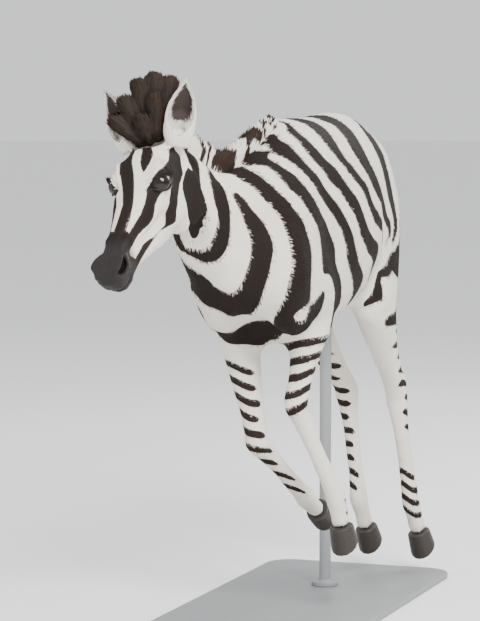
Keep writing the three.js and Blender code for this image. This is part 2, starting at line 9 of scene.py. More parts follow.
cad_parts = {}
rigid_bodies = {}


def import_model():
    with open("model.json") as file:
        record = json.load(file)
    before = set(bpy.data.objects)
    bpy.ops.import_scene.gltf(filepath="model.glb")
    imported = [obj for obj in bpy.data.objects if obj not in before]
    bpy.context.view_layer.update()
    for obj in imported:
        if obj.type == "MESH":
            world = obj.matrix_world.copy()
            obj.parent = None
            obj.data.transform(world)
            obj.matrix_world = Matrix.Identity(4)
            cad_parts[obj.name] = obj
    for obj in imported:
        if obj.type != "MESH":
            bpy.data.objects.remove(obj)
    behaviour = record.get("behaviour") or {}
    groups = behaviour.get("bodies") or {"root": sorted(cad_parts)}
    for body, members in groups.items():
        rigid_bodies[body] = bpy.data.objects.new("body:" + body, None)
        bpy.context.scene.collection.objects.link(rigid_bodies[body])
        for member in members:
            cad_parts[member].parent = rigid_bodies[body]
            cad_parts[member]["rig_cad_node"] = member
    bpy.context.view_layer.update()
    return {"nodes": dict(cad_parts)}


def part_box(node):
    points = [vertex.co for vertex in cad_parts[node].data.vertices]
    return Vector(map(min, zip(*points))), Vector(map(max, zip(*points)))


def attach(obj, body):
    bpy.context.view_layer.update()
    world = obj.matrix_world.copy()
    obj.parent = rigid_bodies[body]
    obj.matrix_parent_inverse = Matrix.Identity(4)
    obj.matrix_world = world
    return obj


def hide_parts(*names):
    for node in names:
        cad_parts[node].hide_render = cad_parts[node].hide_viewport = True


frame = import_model()
nodes = frame["nodes"]
scene = bpy.context.scene


# Mesh helpers, all on plain arrays of points.
def meshOf(form, name):
    mesh = bpy.data.meshes.new(name)
    form.to_mesh(mesh)
    form.free()
    return mesh


def readPoints(mesh):
    points = np.empty(len(mesh.vertices) * 3)
    mesh.vertices.foreach_get("co", points)
    return points.reshape(-1, 3)


def writePoints(mesh, points):
    mesh.vertices.foreach_set("co", np.asarray(points, np.float32).ravel())
    mesh.update()


def readNormals(mesh):
    normals = np.empty(len(mesh.vertices) * 3)
    mesh.vertex_normals.foreach_get("vector", normals)
    return normals.reshape(-1, 3)


def readEdges(mesh):
    edges = np.empty(len(mesh.edges) * 2, np.int32)
    mesh.edges.foreach_get("vertices", edges)
    return edges.reshape(-1, 2)


def unit(vectors):
    return vectors / np.maximum(np.linalg.norm(vectors, axis=-1, keepdims=True), 1e-9)


def ease(start, end, values):
    share = np.clip((values - start) / (end - start), 0, 1)
    return share * share * (3 - 2 * share)


def relaxed(values, edges, steps, share):
    # one value or vector per point, evened out along the edges
    values = values.reshape(len(values), -1)
    share = np.broadcast_to(np.asarray(share, float).reshape(-1, 1), (len(values), 1))
    count = np.maximum(np.bincount(edges.ravel(), minlength=len(values)), 1)[:, None]
    one, two = edges.T
    for _ in range(steps):
        total = np.stack(
            [np.bincount(one, column[two], len(values)) + np.bincount(two, column[one], len(values))
             for column in values.T], 1)
        values = values + share * (total / count - values)
    return values


def evened(points, edges, steps, share):
    # Smoothing twice over puts back most of the volume that one pass takes away.
    base = relaxed(points, edges, steps, share)
    return base + relaxed(points - base, edges, steps, share)


def show(name, mesh):
    piece = bpy.data.objects.new(name, mesh)
    scene.collection.objects.link(piece)
    return piece


def through(mesh, kind, **settings):
    # the mesh after one modifier
    piece = show("draft", mesh)
    modifier = piece.modifiers.new(kind, kind)
    for name, value in settings.items():
        setattr(modifier, name, value)
    result = bpy.data.meshes.new_from_object(
        piece.evaluated_get(bpy.context.evaluated_depsgraph_get()))
    bpy.data.objects.remove(piece)
    return result


def copyOf(names, grow):
    # merged copies of CAD nodes in one mesh, each grown along its normals
    whole = bmesh.new()
    for name in names:
        form = bmesh.new()
        form.from_mesh(nodes[name].data)
        bmesh.ops.remove_doubles(form, verts=form.verts, dist=1e-5)
        form.normal_update()
        reach = grow[name] if name in grow else grow["rest"]
        for vert in form.verts:
            vert.co += vert.normal * reach
        part = meshOf(form, name)
        whole.from_mesh(part)
        bpy.data.meshes.remove(part)
    return meshOf(whole, "copy")


def surfaceOf(mesh):
    form = bmesh.new()
    form.from_mesh(mesh)
    tree = BVHTree.FromBMesh(form)
    form.free()
    return tree


def depthBelow(trees, points):
    # how far each point lies inside the nearest wall of the forms taken together
    depths = np.full(len(points), -9.0)
    for tree in trees:
        for number, point in enumerate(points):
            spot, normal, _, far = tree.find_nearest(point)
            inside = (spot - Vector(point)).dot(normal) > 0
            depths[number] = max(depths[number], far if inside else -far)
    return depths


def finished(mesh):
    mesh.polygons.foreach_set("use_smooth", [True] * len(mesh.polygons))
    mesh.update()
    return mesh


def place(piece, slot, *replaced):
    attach(piece, "root")
    if replaced:
        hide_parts(*replaced)
    return piece


# The camera stands in front of the foal, a little to its left.
view = {"target": (0.047, -0.129, 0.647), "turn": 20, "rise": 5, "far": 6.0, "lens": 159.25, "sensor": 36}
turn, rise = math.radians(view["turn"]), math.radians(view["rise"])
towards = Vector((math.cos(rise) * math.cos(turn), math.cos(rise) * math.sin(turn), math.sin(rise)))
camera = bpy.data.objects.new("camera", bpy.data.cameras.new("camera"))
camera.data.lens = view["lens"]
camera.data.sensor_width = camera.data.sensor_height = view["sensor"]
camera.data.sensor_fit = "VERTICAL"
camera.data.clip_end = 200
camera.location = Vector(view["target"]) + towards * view["far"]
camera.rotation_euler = towards.to_track_quat("Z", "Y").to_euler()
scene.collection.objects.link(camera)
scene.camera = camera

hands = (1, -1)  # the foal's left and its right

# The head's own directions: down the face, to its left, out of the forehead.
head = {"pitch": 42, "turn": -3, "roll": 8, "centre": (0.556, -0.112, 1.017)}
pitch, side = math.radians(head["pitch"]), math.radians(head["turn"])
faceAxis = Vector((math.cos(side) * math.cos(pitch), math.sin(side) * math.cos(pitch), -math.sin(pitch)))
faceRoll = Matrix.Rotation(math.radians(head["roll"]), 3, faceAxis)
faceLeft = faceRoll @ Vector((-math.sin(side), math.cos(side), 0))
faceOut = faceAxis.cross(faceLeft)
headCentre = Vector(head["centre"])


def onHead(along, left, out):
    return headCentre + faceAxis * along + faceLeft * left + faceOut * out


def headPlace(points):
    # along, left and out of each point, in the head's own directions
    apart = points - np.array(headCentre)
    return [apart @ np.array(axis) for axis in (faceAxis, faceLeft, faceOut)]


print("frame, camera and head directions are ready")

# The body's parts, as lines that its hair and its markings follow.
earShape = {"length": 0.142, "half": 0.035, "depth": 0.023, "sunk": 0.008, "narrow": 0.12,
            "from": 0.22, "to": 1.1, "within": 1.2}
earUp = [unit(np.array(faceOut - faceAxis * 0.72 + faceLeft * hand * 0.42)) for hand in hands]
earRoot = [np.array(onHead(0.018, hand * 0.054, 0.022)) for hand in hands]
heading = Vector((math.cos(side), math.sin(side), 0))
earOpen = [np.array(heading + faceLeft * hand * 0.45) for hand in hands]
earOpen = [unit(opening - up * (opening @ up)) for opening, up in zip(earOpen, earUp)]
bodyLines = {
    "trunk": [(0.36, 0, 0.84), (0.1, 0, 0.84), (-0.2, 0, 0.86), (-0.46, 0, 0.86)],
    "neck": [(0.56, -0.112, 1.0), (0.42, -0.06, 0.92), (0.3, -0.02, 0.86)],
    "head": [tuple(onHead(-0.04, 0, -0.02)), tuple(onHead(0.35, 0, -0.02))],
    "foreLeft": [(0.122, 0.066, 0.72), (0.235, 0.064, 0.468), (0.150, 0.126, 0.262),
                 (0.122, 0.140, 0.143)],
    "foreRight": [(0.200, -0.086, 0.70), (0.232, -0.022, 0.384), (0.056, 0.030, 0.238),
                  (-0.060, 0.034, 0.182)],
    "hindLeft": [(-0.205, 0.092, 0.72), (-0.408, 0.090, 0.424), (-0.402, 0.130, 0.168),
                 (-0.440, 0.152, 0.045)],
    "hindRight": [(-0.215, -0.084, 0.72), (-0.430, -0.036, 0.420), (-0.424, -0.004, 0.166),
                  (-0.466, 0.016, 0.045)],
    "tail": [(-0.405, 0, 0.978), (-0.494, 0.008, 0.872), (-0.509, 0.030, 0.705), (-0.520, 0.050, 0.508)],
    "earLeft": [tuple(earRoot[0]), tuple(earRoot[0] + earUp[0] * earShape["length"])],
    "earRight": [tuple(earRoot[1]), tuple(earRoot[1] + earUp[1] * earShape["length"])],
}
lineNumber = {name: number for number, name in enumerate(bodyLines)}
earNumbers = [lineNumber["earLeft"], lineNumber["earRight"]]
lineOf = {"trunk": "trunk", "neck": "neck", "head": "head", "tail": "tail",
          "ear_left": "earLeft", "ear_right": "earRight"}
legLines = {"foreLeft": "fore_left", "foreRight": "fore_right", "hindLeft": "hind_left",
            "hindRight": "hind_right"}
for line, limb in legLines.items():
    lineOf[limb + "_upper"] = lineOf[limb + "_lower"] = line
fleshNodes = [name for name in nodes if name in lineOf]
nearNodes = [(name, readPoints(nodes[name].data)) for name in fleshNodes]
finder = kdtree.KDTree(sum(len(spots) for name, spots in nearNodes))
finderLine = []
for name, spots in nearNodes:
    for spot in spots:
        finder.insert(spot, len(finderLine))
        finderLine.append(lineNumber[lineOf[name]])
finder.balance()


def inEar(points, root, up, opening):
    # how far up the ear each point is, and how far out from its middle line, 1 at its outer wall
    rise = ((points - root) @ up + earShape["sunk"]) / earShape["length"]
    size = np.sin(math.pi * np.clip(0.2 + 0.8 * rise, 0.05, 0.98)) ** 0.6 * (1 - earShape["narrow"] * rise)
    off = points - root - ((points - root) @ up)[:, None] * up
    across = off @ np.cross(up, opening) / earShape["half"]
    ahead = off @ opening / earShape["depth"]
    return rise, np.hypot(across, ahead) / size, off


def partsOf(points):
    # the number of the body line that each point belongs to
    found = np.array([finderLine[finder.find(point)[1]] for point in points])
    for number, root, up, opening in zip(earNumbers, earRoot, earUp, earOpen):
        rise, apartness, _ = inEar(points, root, up, opening)
        inside = (rise > earShape["from"]) & (rise < earShape["to"]) & (apartness < earShape["within"])
        found = np.where(inside, number, found)
    return found


def along(points, parts):
    # way down the line, angle round it, distance from it and the line's direction, for each point
    way, angle, apart = np.zeros(len(points)), np.zeros(len(points)), np.full(len(points), 9.0)
    course = np.zeros((len(points), 3))
    for name, number in lineNumber.items():
        chosen = np.nonzero(parts == number)[0]
        if not len(chosen):
            continue
        spots, start = np.array(bodyLines[name], float), 0.0
        ahead = np.array((0, 0, 1.0) if name in ("trunk", "neck", "head") else (1.0, 0, 0))
        for first, (one, two) in enumerate(zip(spots[:-1], spots[1:])):
            length = np.linalg.norm(two - one)
            axis = (two - one) / length
            step = np.clip((points[chosen] - one) @ axis, 0 if first else -0.1, length)
            off = points[chosen] - one - step[:, None] * axis
            far = np.linalg.norm(off, axis=1)
            front = unit(ahead - axis * (ahead @ axis))
            left = np.cross(front, axis) * (-1 if front[0] > 0.5 else 1)
            better = far < apart[chosen]
            spot = chosen[better]
            apart[spot], course[spot] = far[better], axis
            way[spot] = start + step[better]
            angle[spot] = np.arctan2(off[better] @ left, off[better] @ front)
            start += length
    return way, angle, apart, course


sheetTiles = {"columns": 4, "rows": 3, "side": 0.06, "wide": 0.88, "foot": 0.1, "tall": 0.8}
lineLengths = np.array([sum(math.dist(one, two) for one, two in zip(line[:-1], line[1:]))
                        for line in bodyLines.values()])


def unwrap(points, parts):
    # each body line has its own tile of one flat sheet
    way, angle = along(points, parts)[:2]
    column, row = parts % sheetTiles["columns"], parts // sheetTiles["columns"]
    across = column + sheetTiles["side"] + sheetTiles["wide"] * (angle / (2 * math.pi) + 0.5)
    upward = row + sheetTiles["foot"] + sheetTiles["tall"] * np.clip(way / lineLengths[parts], -0.1, 1.1)
    return np.stack([across / sheetTiles["columns"], upward / sheetTiles["rows"]], 1)


# The markings, as one number per point in metres from a stripe's edge: black above 0, white below.
markLimit = 0.012  # a mark says no more beyond this distance from its edge
stripeEdges = {  # places on the edges between black and white, throat to tail, in centimetres
    0: [(54.5, -6, 97), (56.5, -5, 92), (58, -6, 88), (56, -8, 83)],
    1: [(50.5, -6, 100), (51.5, -4.5, 97), (52, -3.5, 93), (51.5, -3, 90.5), (49.5, -5, 86.5),
        (48, -7, 83.5)],
    2: [(46.5, -5, 98.5), (49, -3.5, 96), (49, -2.5, 91), (48.5, -2, 85), (48.5, -3, 82.5), (47.5, -6, 80.5),
        (46.5, -9.5, 81)],
    3: [(45, -5, 98.5), (44.5, -2, 94), (44.5, -0.5, 90), (45, 0, 85.5), (45, -1, 80.5), (46.5, -5, 78),
        (46.5, -9.5, 79.5)],
    4: [(43.3, -0.8, 92.5), (42.5, 1, 88.5), (42, 3, 83.5), (41.5, 3, 78.5), (41, 1, 74), (40.5, -2, 71),
        (41.5, -4.5, 72.5), (45, -6.5, 75), (45.5, -10, 77.5)],
    5: [(42.5, -0.3, 93), (41.5, 3, 89.5), (40, 6, 85), (39.5, 7, 81.5), (40.5, 7, 77.5), (40.5, 5.5, 72.5),
        (37.5, 2, 67.5), (34, -3, 65.5), (37, -4.5, 67), (39, -9, 69), (37, -12.5, 72)],
    6: [(44.5, -5, 98), (40, -2, 96), (39.5, 2, 93.5), (39, 6, 90), (37.5, 9, 84.5), (38.5, 10.5, 80.5),
        (39.5, 10.5, 74.5), (37, 7, 68.5), (29, -1.5, 61.5), (29, -6, 61.5), (32, -8.5, 62.5),
        (33, -10.5, 64.5)],
    7: [(36, -2.5, 98.5), (37, 4, 95), (34.5, 8.5, 90.5), (32, 11, 86.5), (31, 12.5, 80.5), (32.5, 13, 77),
        (23, 12.5, 71.5), (32.5, 12.5, 70), (36, 10, 66.5), (26, -8.5, 59.5), (25, -5, 59), (21, -1, 58.5)],
    8: [(23, 1, 105.5), (28, -0.5, 102.5), (32, -1.5, 100.5), (34.5, 0.5, 98.5), (34, 3.5, 97.5),
        (33, 8.5, 93), (29.5, 11, 88), (24.5, 12, 82), (24, 12, 78), (23.5, 13, 74)],
    9: [(32, 0.5, 99.6), (31.5, 4, 98), (29, 7.5, 95.5), (26, 10.5, 91), (19, 11.5, 85.5), (14.5, 12.5, 79.5),
        (14.5, 12.5, 76.5), (10, 12.5, 72), (6, 10, 67)],
    10: [(31.5, -0.5, 100.5), (30, 3.5, 99.8), (27.5, 7.5, 97.3), (23.5, 10.5, 93), (17, 12, 87.5),
         (11, 13.5, 81), (8.5, 13, 76), (3, 12.5, 71), (-1, 10, 66)],
    11: [(26.5, 1.5, 102.8), (25.5, 4, 102), (24, 8, 99), (20, 10.5, 94.5), (13, 13, 88), (7, 14, 81.5),
         (2.5, 14, 75.5), (-4, 12, 70)],
    12: [(24.5, 1, 104.5), (21.5, 3, 105), (22, 6, 103), (20.5, 8.5, 98.5), (16, 11.5, 94), (9.5, 13.5, 88.5),
         (4, 14.5, 82), (-3, 14.5, 77), (-9, 12, 70)],
    13: [(18, 1, 107), (19, 6, 104), (16.5, 9, 100.5), (12, 11.5, 96.5), (6, 13.5, 90.5), (-1.5, 15, 82.5),
         (-11, 13.5, 75)],
    14: [(12, 1, 108), (12.5, 6.5, 105), (11.5, 10, 100.5), (7, 12.5, 95.5), (1, 14.5, 90.5), (-6, 15, 83.5),
         (-16, 13.5, 76)],
    15: [(5, 1, 108), (5.5, 8, 104), (6, 11.5, 98.5), (1, 14, 94), (-7, 15, 86.5), (-20, 13.5, 78)],
    16: [(-3, 1, 108), (-1.5, 8, 104.5), (0, 12, 99), (-5, 14.5, 91.5), (-16, 14, 85), (-24, 13, 79.5)],
    17: [(-11, 0.5, 107.5), (-8.5, 8, 104), (-8, 13, 97), (-13, 14, 91), (-22, 13, 84.5)],
    18: [(-20, 0.5, 106), (-18, 8, 102.5), (-18, 12, 97), (-21, 13, 91.5), (-27, 12.5, 85)],
    19: [(-31, 0.5, 103), (-28, 7, 101), (-29, 11, 94), (-31, 11.5, 88), (-31, 12.5, 82)],
    20: [(-41, 1, 97), (-41, 6, 90), (-38, 10, 83), (-32, 12, 78), (-25, 12.5, 76), (-17, 12, 73)],
    21: [(-43, 5, 82), (-41, 9, 75), (-35.5, 11, 69.5), (-27, 13, 68), (-18.5, 13, 67), (-15.5, 10, 64)],
    22: [(-39, 9, 67), (-33, 12, 65), (-27.5, 13, 63.5), (-20, 12.5, 62), (-19, 9, 59.5)],
}


neckBend = {"low": -0.02, "high": -0.11, "clear": 0.03}  # how far the neck's middle lies to the side


def mirroredEdges():
    # the far side repeats the near one, turned over about the middle of the trunk and the bent neck
    spots, numbers = [], []
    for number, edge in stripeEdges.items():
        for x, y, z in np.array(edge, float) / 100:
            middle = neckBend["low"] * ease(0.25, 0.4, x) + neckBend["high"] * ease(0.38, 0.6, x)
            spots.append((x, y, z))
            numbers.append(number)
            if y - middle > neckBend["clear"]:
                spots.append((x, 2 * middle - y, z))
                numbers.append(number + 0.12 * math.sin(number * 2.1 + z * 25))
    return np.array(spots), np.array(numbers)


edgeSpots, edgeNumbers = mirroredEdges()
roundness = 0.012  # keeps the field smooth at the places themselves
slack = 2e-3  # how far the field may pass a place by
between = np.sqrt(((edgeSpots[:, None] - edgeSpots[None]) ** 2).sum(axis=2) + roundness ** 2)
between = between - slack * np.eye(len(edgeSpots))
flat = np.hstack([np.ones((len(edgeSpots), 1)), edgeSpots])
pulls = np.linalg.solve(np.block([[between, flat], [flat.T, np.zeros((4, 4))]]),
                        np.concatenate([edgeNumbers, np.zeros(4)]))


def stripeNumber(points, normals, batch=20000):
    # the numbers of the edges, spread smoothly between them; also how fast they change over the skin
    number, slope = np.empty(len(points)), np.empty(len(points))
    for start in range(0, len(points), batch):
        here = slice(start, start + batch)
        off = points[here, None] - edgeSpots[None]
        far = np.sqrt((off ** 2).sum(axis=2) + roundness ** 2)
        number[here] = far @ pulls[:-4] + pulls[-4] + points[here] @ pulls[-3:]
        pace = np.einsum("ijk,ij,j->ik", off, 1 / far, pulls[:-4]) + pulls[-3:]
        pace = pace - normals[here] * np.sum(pace * normals[here], axis=1)[:, None]
        slope[here] = np.linalg.norm(pace, axis=1)
    return number, slope


bodyStripes = {"slowest": 8, "crowded": 75, "lost": 110, "drop": 0.02}  # the first three in stripes per metre
stripeEnds = [  # where a stripe closes to a tip: place and reach in centimetres, 1 for black, -1 for white
    ((34, 0, 100), 3.2, 1), ((31.5, 1, 100.2), 1.8, 1), ((27, 1.5, 103.3), 2.2, 1),
    ((43.2, -1, 94.5), 1.8, -1), ((-43, 0, 95), 7.5, 1),
]


def bodyMark(points, normals):
    number, slope = stripeNumber(points, normals)
    mark = np.sin(math.pi * (number + 1)) * -1 / (math.pi * np.maximum(slope, bodyStripes["slowest"]))
    mark = mark - bodyStripes["drop"] * ease(bodyStripes["crowded"], bodyStripes["lost"], slope)
    for spot, reach, sign in stripeEnds:
        near = np.linalg.norm(points - np.array(spot) / 100, axis=1) / (reach / 100)
        mark = mark + sign * bodyStripes["drop"] * np.exp(-near ** 4)
    return mark


faceEdges = [  # edges on the face: (millimetres down from the poll, degrees round to the left)
    [(45, -34), (75, -31), (115, -25), (150, -15), (190, -6), (250, -11)],
    [(35, -20), (60, -13), (90, -8), (130, 5), (175, 14), (210, 20), (250, 22)],
    [(40, -6), (65, 2), (95, 7), (112, 13), (119, 18), (300, 18)],
    [(40, 9), (60, 18), (75, 22), (95, 22), (112, 20), (119, 18), (300, 18)],
    [(28, 32), (40, 40), (65, 45), (95, 42), (120, 36), (145, 31), (175, 37), (205, 39), (250, 31)],
    [(105, 70), (128, 60), (145, 58), (165, 59), (190, 73), (205, 74), (235, 60), (275, 54)],
    [(105, 70), (119, 82), (130, 90), (148, 104), (160, 134), (178, 141), (200, 138), (235, 120), (275, 106)],
    [(0, 55), (18, 70), (33, 80), (45, 98), (75, 102), (100, 109), (125, 122), (135, 138), (300, 150)],
    [(0, 90), (45, 103), (60, 106), (72, 112), (82, 124), (100, 175)],
]
muzzleEdge = [  # where the dark muzzle begins: (degrees round to the left, millimetres down)
    (-180, 262), (-75, 225), (-35, 242), (-18, 250), (0, 255), (20, 248), (36, 254), (44, 268), (52, 286),
    (60, 291), (80, 285), (115, 276), (180, 280),
]
faceStripes = {"middle": 0.03, "ahead": 25, "farWidth": 17, "farHeight": 0.0075}


def faceMark(points):
    down, left, out = headPlace(points)
    out = out + faceStripes["middle"]
    angle, radius = np.degrees(np.arctan2(left, out)), np.hypot(left, out)
    down = down * 1000
    mark = np.full(len(points), 1.0)
    count = np.zeros(len(points), int)
    for edge in faceEdges:
        ways, turns = np.array(edge, float).T
        at = np.interp(down, ways, turns)
        live = down > ways[0] - faceStripes["ahead"]
        gapTo = np.radians(angle - at) * radius
        mark = np.where(live & (np.abs(gapTo) < np.abs(mark)), np.abs(gapTo), np.abs(mark))
        count += live & (gapTo > 0)
    first = np.interp(down, *np.array(faceEdges[0], float).T)
    past = (first - angle) / faceStripes["farWidth"]  # the far side of the face, in stripes of its own
    gapTo = np.radians(past * faceStripes["farWidth"]) * radius
    farMark = np.where(past < 0.5, -np.minimum(gapTo, markLimit),
                       -np.sin(math.pi * past) * faceStripes["farHeight"])
    mark = np.where(angle < first, farMark, mark * np.where(count % 2 == 1, 1, -1))
    muzzle = (down - np.interp(angle, *np.array(muzzleEdge, float).T)) / 1000
    return np.maximum(np.clip(mark, -markLimit, markLimit), np.clip(muzzle, -markLimit, 0.02))


legBars = [  # line, top, foot, pitch, slope to the outside, middle and half spread in degrees
    ("foreLeft", 0.628, 0.435, 0.033, -0.16, -10, 165), ("foreLeft", 0.27, 0.21, 0.030, 0.10, -110, 70),
    ("foreRight", 0.560, 0.255, 0.034, 0.16, 35, 125), ("hindLeft", 0.60, 0.33, 0.034, -0.10, -120, 95),
    ("hindLeft", 0.265, 0.125, 0.030, 0.12, -5, 130), ("hindRight", 0.62, 0.17, 0.033, 0.10, 45, 105),
]


barShape = {"bend": 0.003, "half": 0.06, "blend": 0.02, "uneven": 16, "point": 60}


def legMark(points, parts, angle):
    mark = np.full(len(points), -markLimit)
    for name, top, low, pitch, slope, middle, spread in legBars:
        here = parts == lineNumber[name]
        bend = barShape["bend"] * np.sin(angle * 2 + points[:, 2] * 17)
        level = points[:, 2] - slope * barShape["half"] * np.sin(angle) + bend
        wave = np.cos(2 * math.pi * level / pitch) * pitch / 6.5
        apart = np.abs((np.degrees(angle) - middle + 180) % 360 - 180)
        blend = barShape["blend"]
        room = ease(low - blend, low + blend, level) * (1 - ease(top - blend, top + blend, level))
        # each bar has its own length
        uneven = barShape["uneven"] * np.sin(np.round(level / pitch) * 2.3 + middle)
        room = room * (1 - ease(spread - barShape["point"], spread, apart + uneven))
        mark = np.where(here, np.maximum(mark, wave - pitch / 4 * (1 - room)), mark)
    return mark


legSeams = {"foreLeft": 0.628, "foreRight": 0.590, "blend": 0.012, "hind": (0.59, 0.62), "belly": 0.55,
            "groin": 0.8, "muzzle": 0.16, "neck": 0.5}
earBands = {"middle": 0.088, "half": 0.018, "tip": 0.130, "faceless": 0.125}
tailBands = {"pitch": 0.042, "height": 0.006, "more": 0.001, "dock": (0.076, 0.090), "switch": (0.265, 0.280)}


def markings(points, parts, way, angle, normals):
    body, face = bodyMark(points, normals), faceMark(points)
    legs = legMark(points, parts, angle)
    down, _, out = headPlace(points)
    onFace = (parts == lineNumber["head"]) * 1.0
    onFace = np.maximum(onFace * ease(-0.01, 0.03, down - 0.25 * (-out)),
                        (down > legSeams["muzzle"]) * (points[:, 0] > legSeams["neck"]))
    fore = np.isin(parts, [lineNumber[name] for name in ("foreLeft", "foreRight")])
    hind = np.isin(parts, [lineNumber[name] for name in ("hindLeft", "hindRight")])
    height = points[:, 2]
    seam = np.where(points[:, 1] < 0, legSeams["foreRight"], legSeams["foreLeft"])
    onLeg = (fore * (1 - ease(-legSeams["blend"], legSeams["blend"], height - seam))
             + hind * (1 - ease(*legSeams["hind"], height)))
    under = ease(0.45, 0.9, -normals[:, 2]) * (points[:, 0] < 0.25) * (height > legSeams["belly"]) * ~fore
    inner = hind * ease(0.2, 0.75, -np.sign(points[:, 1]) * normals[:, 1]) * (height < legSeams["groin"])
    mark = body - bodyStripes["drop"] * np.maximum(under, inner)  # belly and inner thighs are white
    mark = mark * (1 - onFace) + face * onFace
    mark = mark * (1 - onLeg) + legs * onLeg
    ears = np.isin(parts, earNumbers)
    band = np.maximum(earBands["half"] - np.abs(way - earBands["middle"]), way - earBands["tip"])
    faced = np.where(parts == earNumbers[0], normals @ earOpen[0], normals @ earOpen[1])
    band = band - 0.03 * ease(-0.35, 0.0, faced) * (way < earBands["faceless"])  # only on the ear's back
    mark = np.where(ears, np.clip(band, -markLimit, markLimit), mark)
    bands = np.cos(2 * math.pi * way / tailBands["pitch"]) * tailBands["height"] + tailBands["more"]
    dark = 0.010 - 0.018 * ease(*tailBands["dock"], way) + 0.018 * ease(*tailBands["switch"], way)
    return np.where(parts == lineNumber["tail"], np.maximum(bands, dark), mark)


# The skin, one closed surface from all the flesh.
skinShape = {
    "bodyVoxel": 0.006, "headVoxel": 0.0024,
    "voxel": 0.0025, "grow": 0.0012, "eyeGrow": 0.0022, "coatDepth": 0.0024,
    "earDepth": 0.0006, "faces": 91000, "bodyEdge": 0.0148,
    "legEdge": 0.0104, "legTop": 0.62, "neckFront": 0.50, "earBase": 0.03,
    "legsFrom": 0.60, "join": (0.52, -0.096, 0.95), "joinWay": (0.93, -0.2, -0.3),
    "joinReach": 0.03, "bodySteps": 44, "headSteps": 22,
    "joinSteps": 8, "headFrom": 0.52, "headFoot": 0.66, "fineReach": 0.032,
    "lidReach": 0.0278, "closeReach": 0.04, "sag": -0.42, "lieSteps": 110,
}
bodyNodes = [name for name in fleshNodes if name != "head" and not name.startswith("ear")]
bodyMesh = copyOf(bodyNodes, {"rest": skinShape["grow"]})
bodyMesh = through(bodyMesh, "REMESH", mode="VOXEL", voxel_size=skinShape["bodyVoxel"])
solidForms = [surfaceOf(bodyMesh)]
points, edges = readPoints(bodyMesh), readEdges(bodyMesh)
limbness = 1 - ease(0.56, 0.74, points[:, 2])
tailness = ease(0.43, 0.45, -points[:, 0]) * ease(0.76, 0.80, points[:, 2])
points = evened(points, edges, skinShape["bodySteps"], 0.5 - 0.43 * np.maximum(limbness, tailness))
writePoints(bodyMesh, points)

headMesh = copyOf(["head", "eye_left", "eye_right", "ear_left", "ear_right"],
                  {"rest": skinShape["grow"], "eye_left": skinShape["eyeGrow"],
                   "eye_right": skinShape["eyeGrow"]})
headMesh = through(headMesh, "REMESH", mode="VOXEL", voxel_size=skinShape["headVoxel"])
solidForms.append(surfaceOf(headMesh))
writePoints(headMesh, evened(readPoints(headMesh), readEdges(headMesh), skinShape["headSteps"], 0.4))

union = bmesh.new()
for part in (bodyMesh, headMesh):
    union.from_mesh(part)
skinMesh = through(meshOf(union, "skin"), "REMESH", mode="VOXEL", voxel_size=skinShape["voxel"])
points, edges = readPoints(skinMesh), readEdges(skinMesh)
down, left, out = headPlace(points)
joint = (points - np.array(skinShape["join"])) @ np.array(skinShape["joinWay"]) / skinShape["joinReach"]
joint = np.exp(-joint ** 2) * (points[:, 0] > 0.42) * (1 - ease(0.02, 0.05, out))
points = evened(points, edges, skinShape["joinSteps"], 0.2 + 0.3 * joint)
writePoints(skinMesh, points)

# The body is thinned, and the head keeps its fine mesh.
draft = show("draft", skinMesh)
group = draft.vertex_groups.new(name="thin")
plain = 1 - ease(-0.06, 0.01, down) * (points[:, 0] > 0.5)
tailed = (points[:, 0] < -0.43) & (points[:, 2] > skinShape["legTop"])
plain = plain * (1 - 0.4 * (points[:, 2] < skinShape["legsFrom"])) * (1 - 0.6 * tailed)
plain = plain * (1 - (out > skinShape["earBase"]) * (points[:, 0] > 0.44))  # the ears' walls are thin
for level in range(1, 6):
    group.add([int(index) for index in np.nonzero(np.round(plain * 5) == level)[0]], level / 5, "REPLACE")
thin = draft.modifiers.new("thin", "DECIMATE")
thin.ratio = skinShape["faces"] / (2 * len(skinMesh.polygons))
thin.vertex_group, thin.vertex_group_factor = "thin", 1.0
skinMesh = bpy.data.meshes.new_from_object(draft.evaluated_get(bpy.context.evaluated_depsgraph_get()))
bpy.data.objects.remove(draft)
edges = readEdges(skinMesh)
for _ in range(2):
    # Smoothing took a little off every ridge: the skin goes to the coat's depth below the solids.
    points = readPoints(skinMesh)
    depth = np.where(np.isin(partsOf(points), earNumbers), skinShape["earDepth"], skinShape["coatDepth"])
    gap = depthBelow(solidForms, points) - skinShape["grow"] - depth
    slim = np.maximum(1 - ease(0.50, 0.66, points[:, 2]), (points[:, 0] > 0.5) * 1.0)
    gap = relaxed(np.clip(gap, -0.010, 0.014), edges, 90, 0.5 - 0.36 * slim)
    writePoints(skinMesh, points + readNormals(skinMesh) * gap)
points = readPoints(skinMesh)
print("skin:", len(points), "points,", len(skinMesh.polygons), "faces")

# The eyes and nostrils get a finer mesh before they are shaped, and the body's faces are made even.
eyeShape = {"radius": 0.0232, "along": 0.119, "side": 0.0445, "out": 0.012, "width": 0.97, "upper": 0.60,
            "lower": 0.47, "lid": 0.0014, "rimDepth": 0.0052, "rimLip": 0.0012, "creaseAt": 0.0062,
            "creaseWidth": 0.0013, "creaseDepth": 0.0014, "reach": 0.045, "upperTurn": 0.03,
            "lowerTurn": 0.06}
nostril = {"along": 0.332, "side": 0.034, "out": -0.003, "length": 0.023, "width": 0.0088, "depth": 0.014,
           "curve": 12, "shift": 0.0030, "rimHeight": 0.0022, "rimAt": 1.3, "rimWidth": 0.28,
           "reach": 0.035}
eyeCentres, nostrilCentres = [
    [np.array(onHead(shape["along"], hand * shape["side"], shape["out"])) for hand in hands]
    for shape in (eyeShape, nostril)]
fine = bmesh.new()
fine.from_mesh(skinMesh)
bmesh.ops.triangulate(fine, faces=fine.faces)
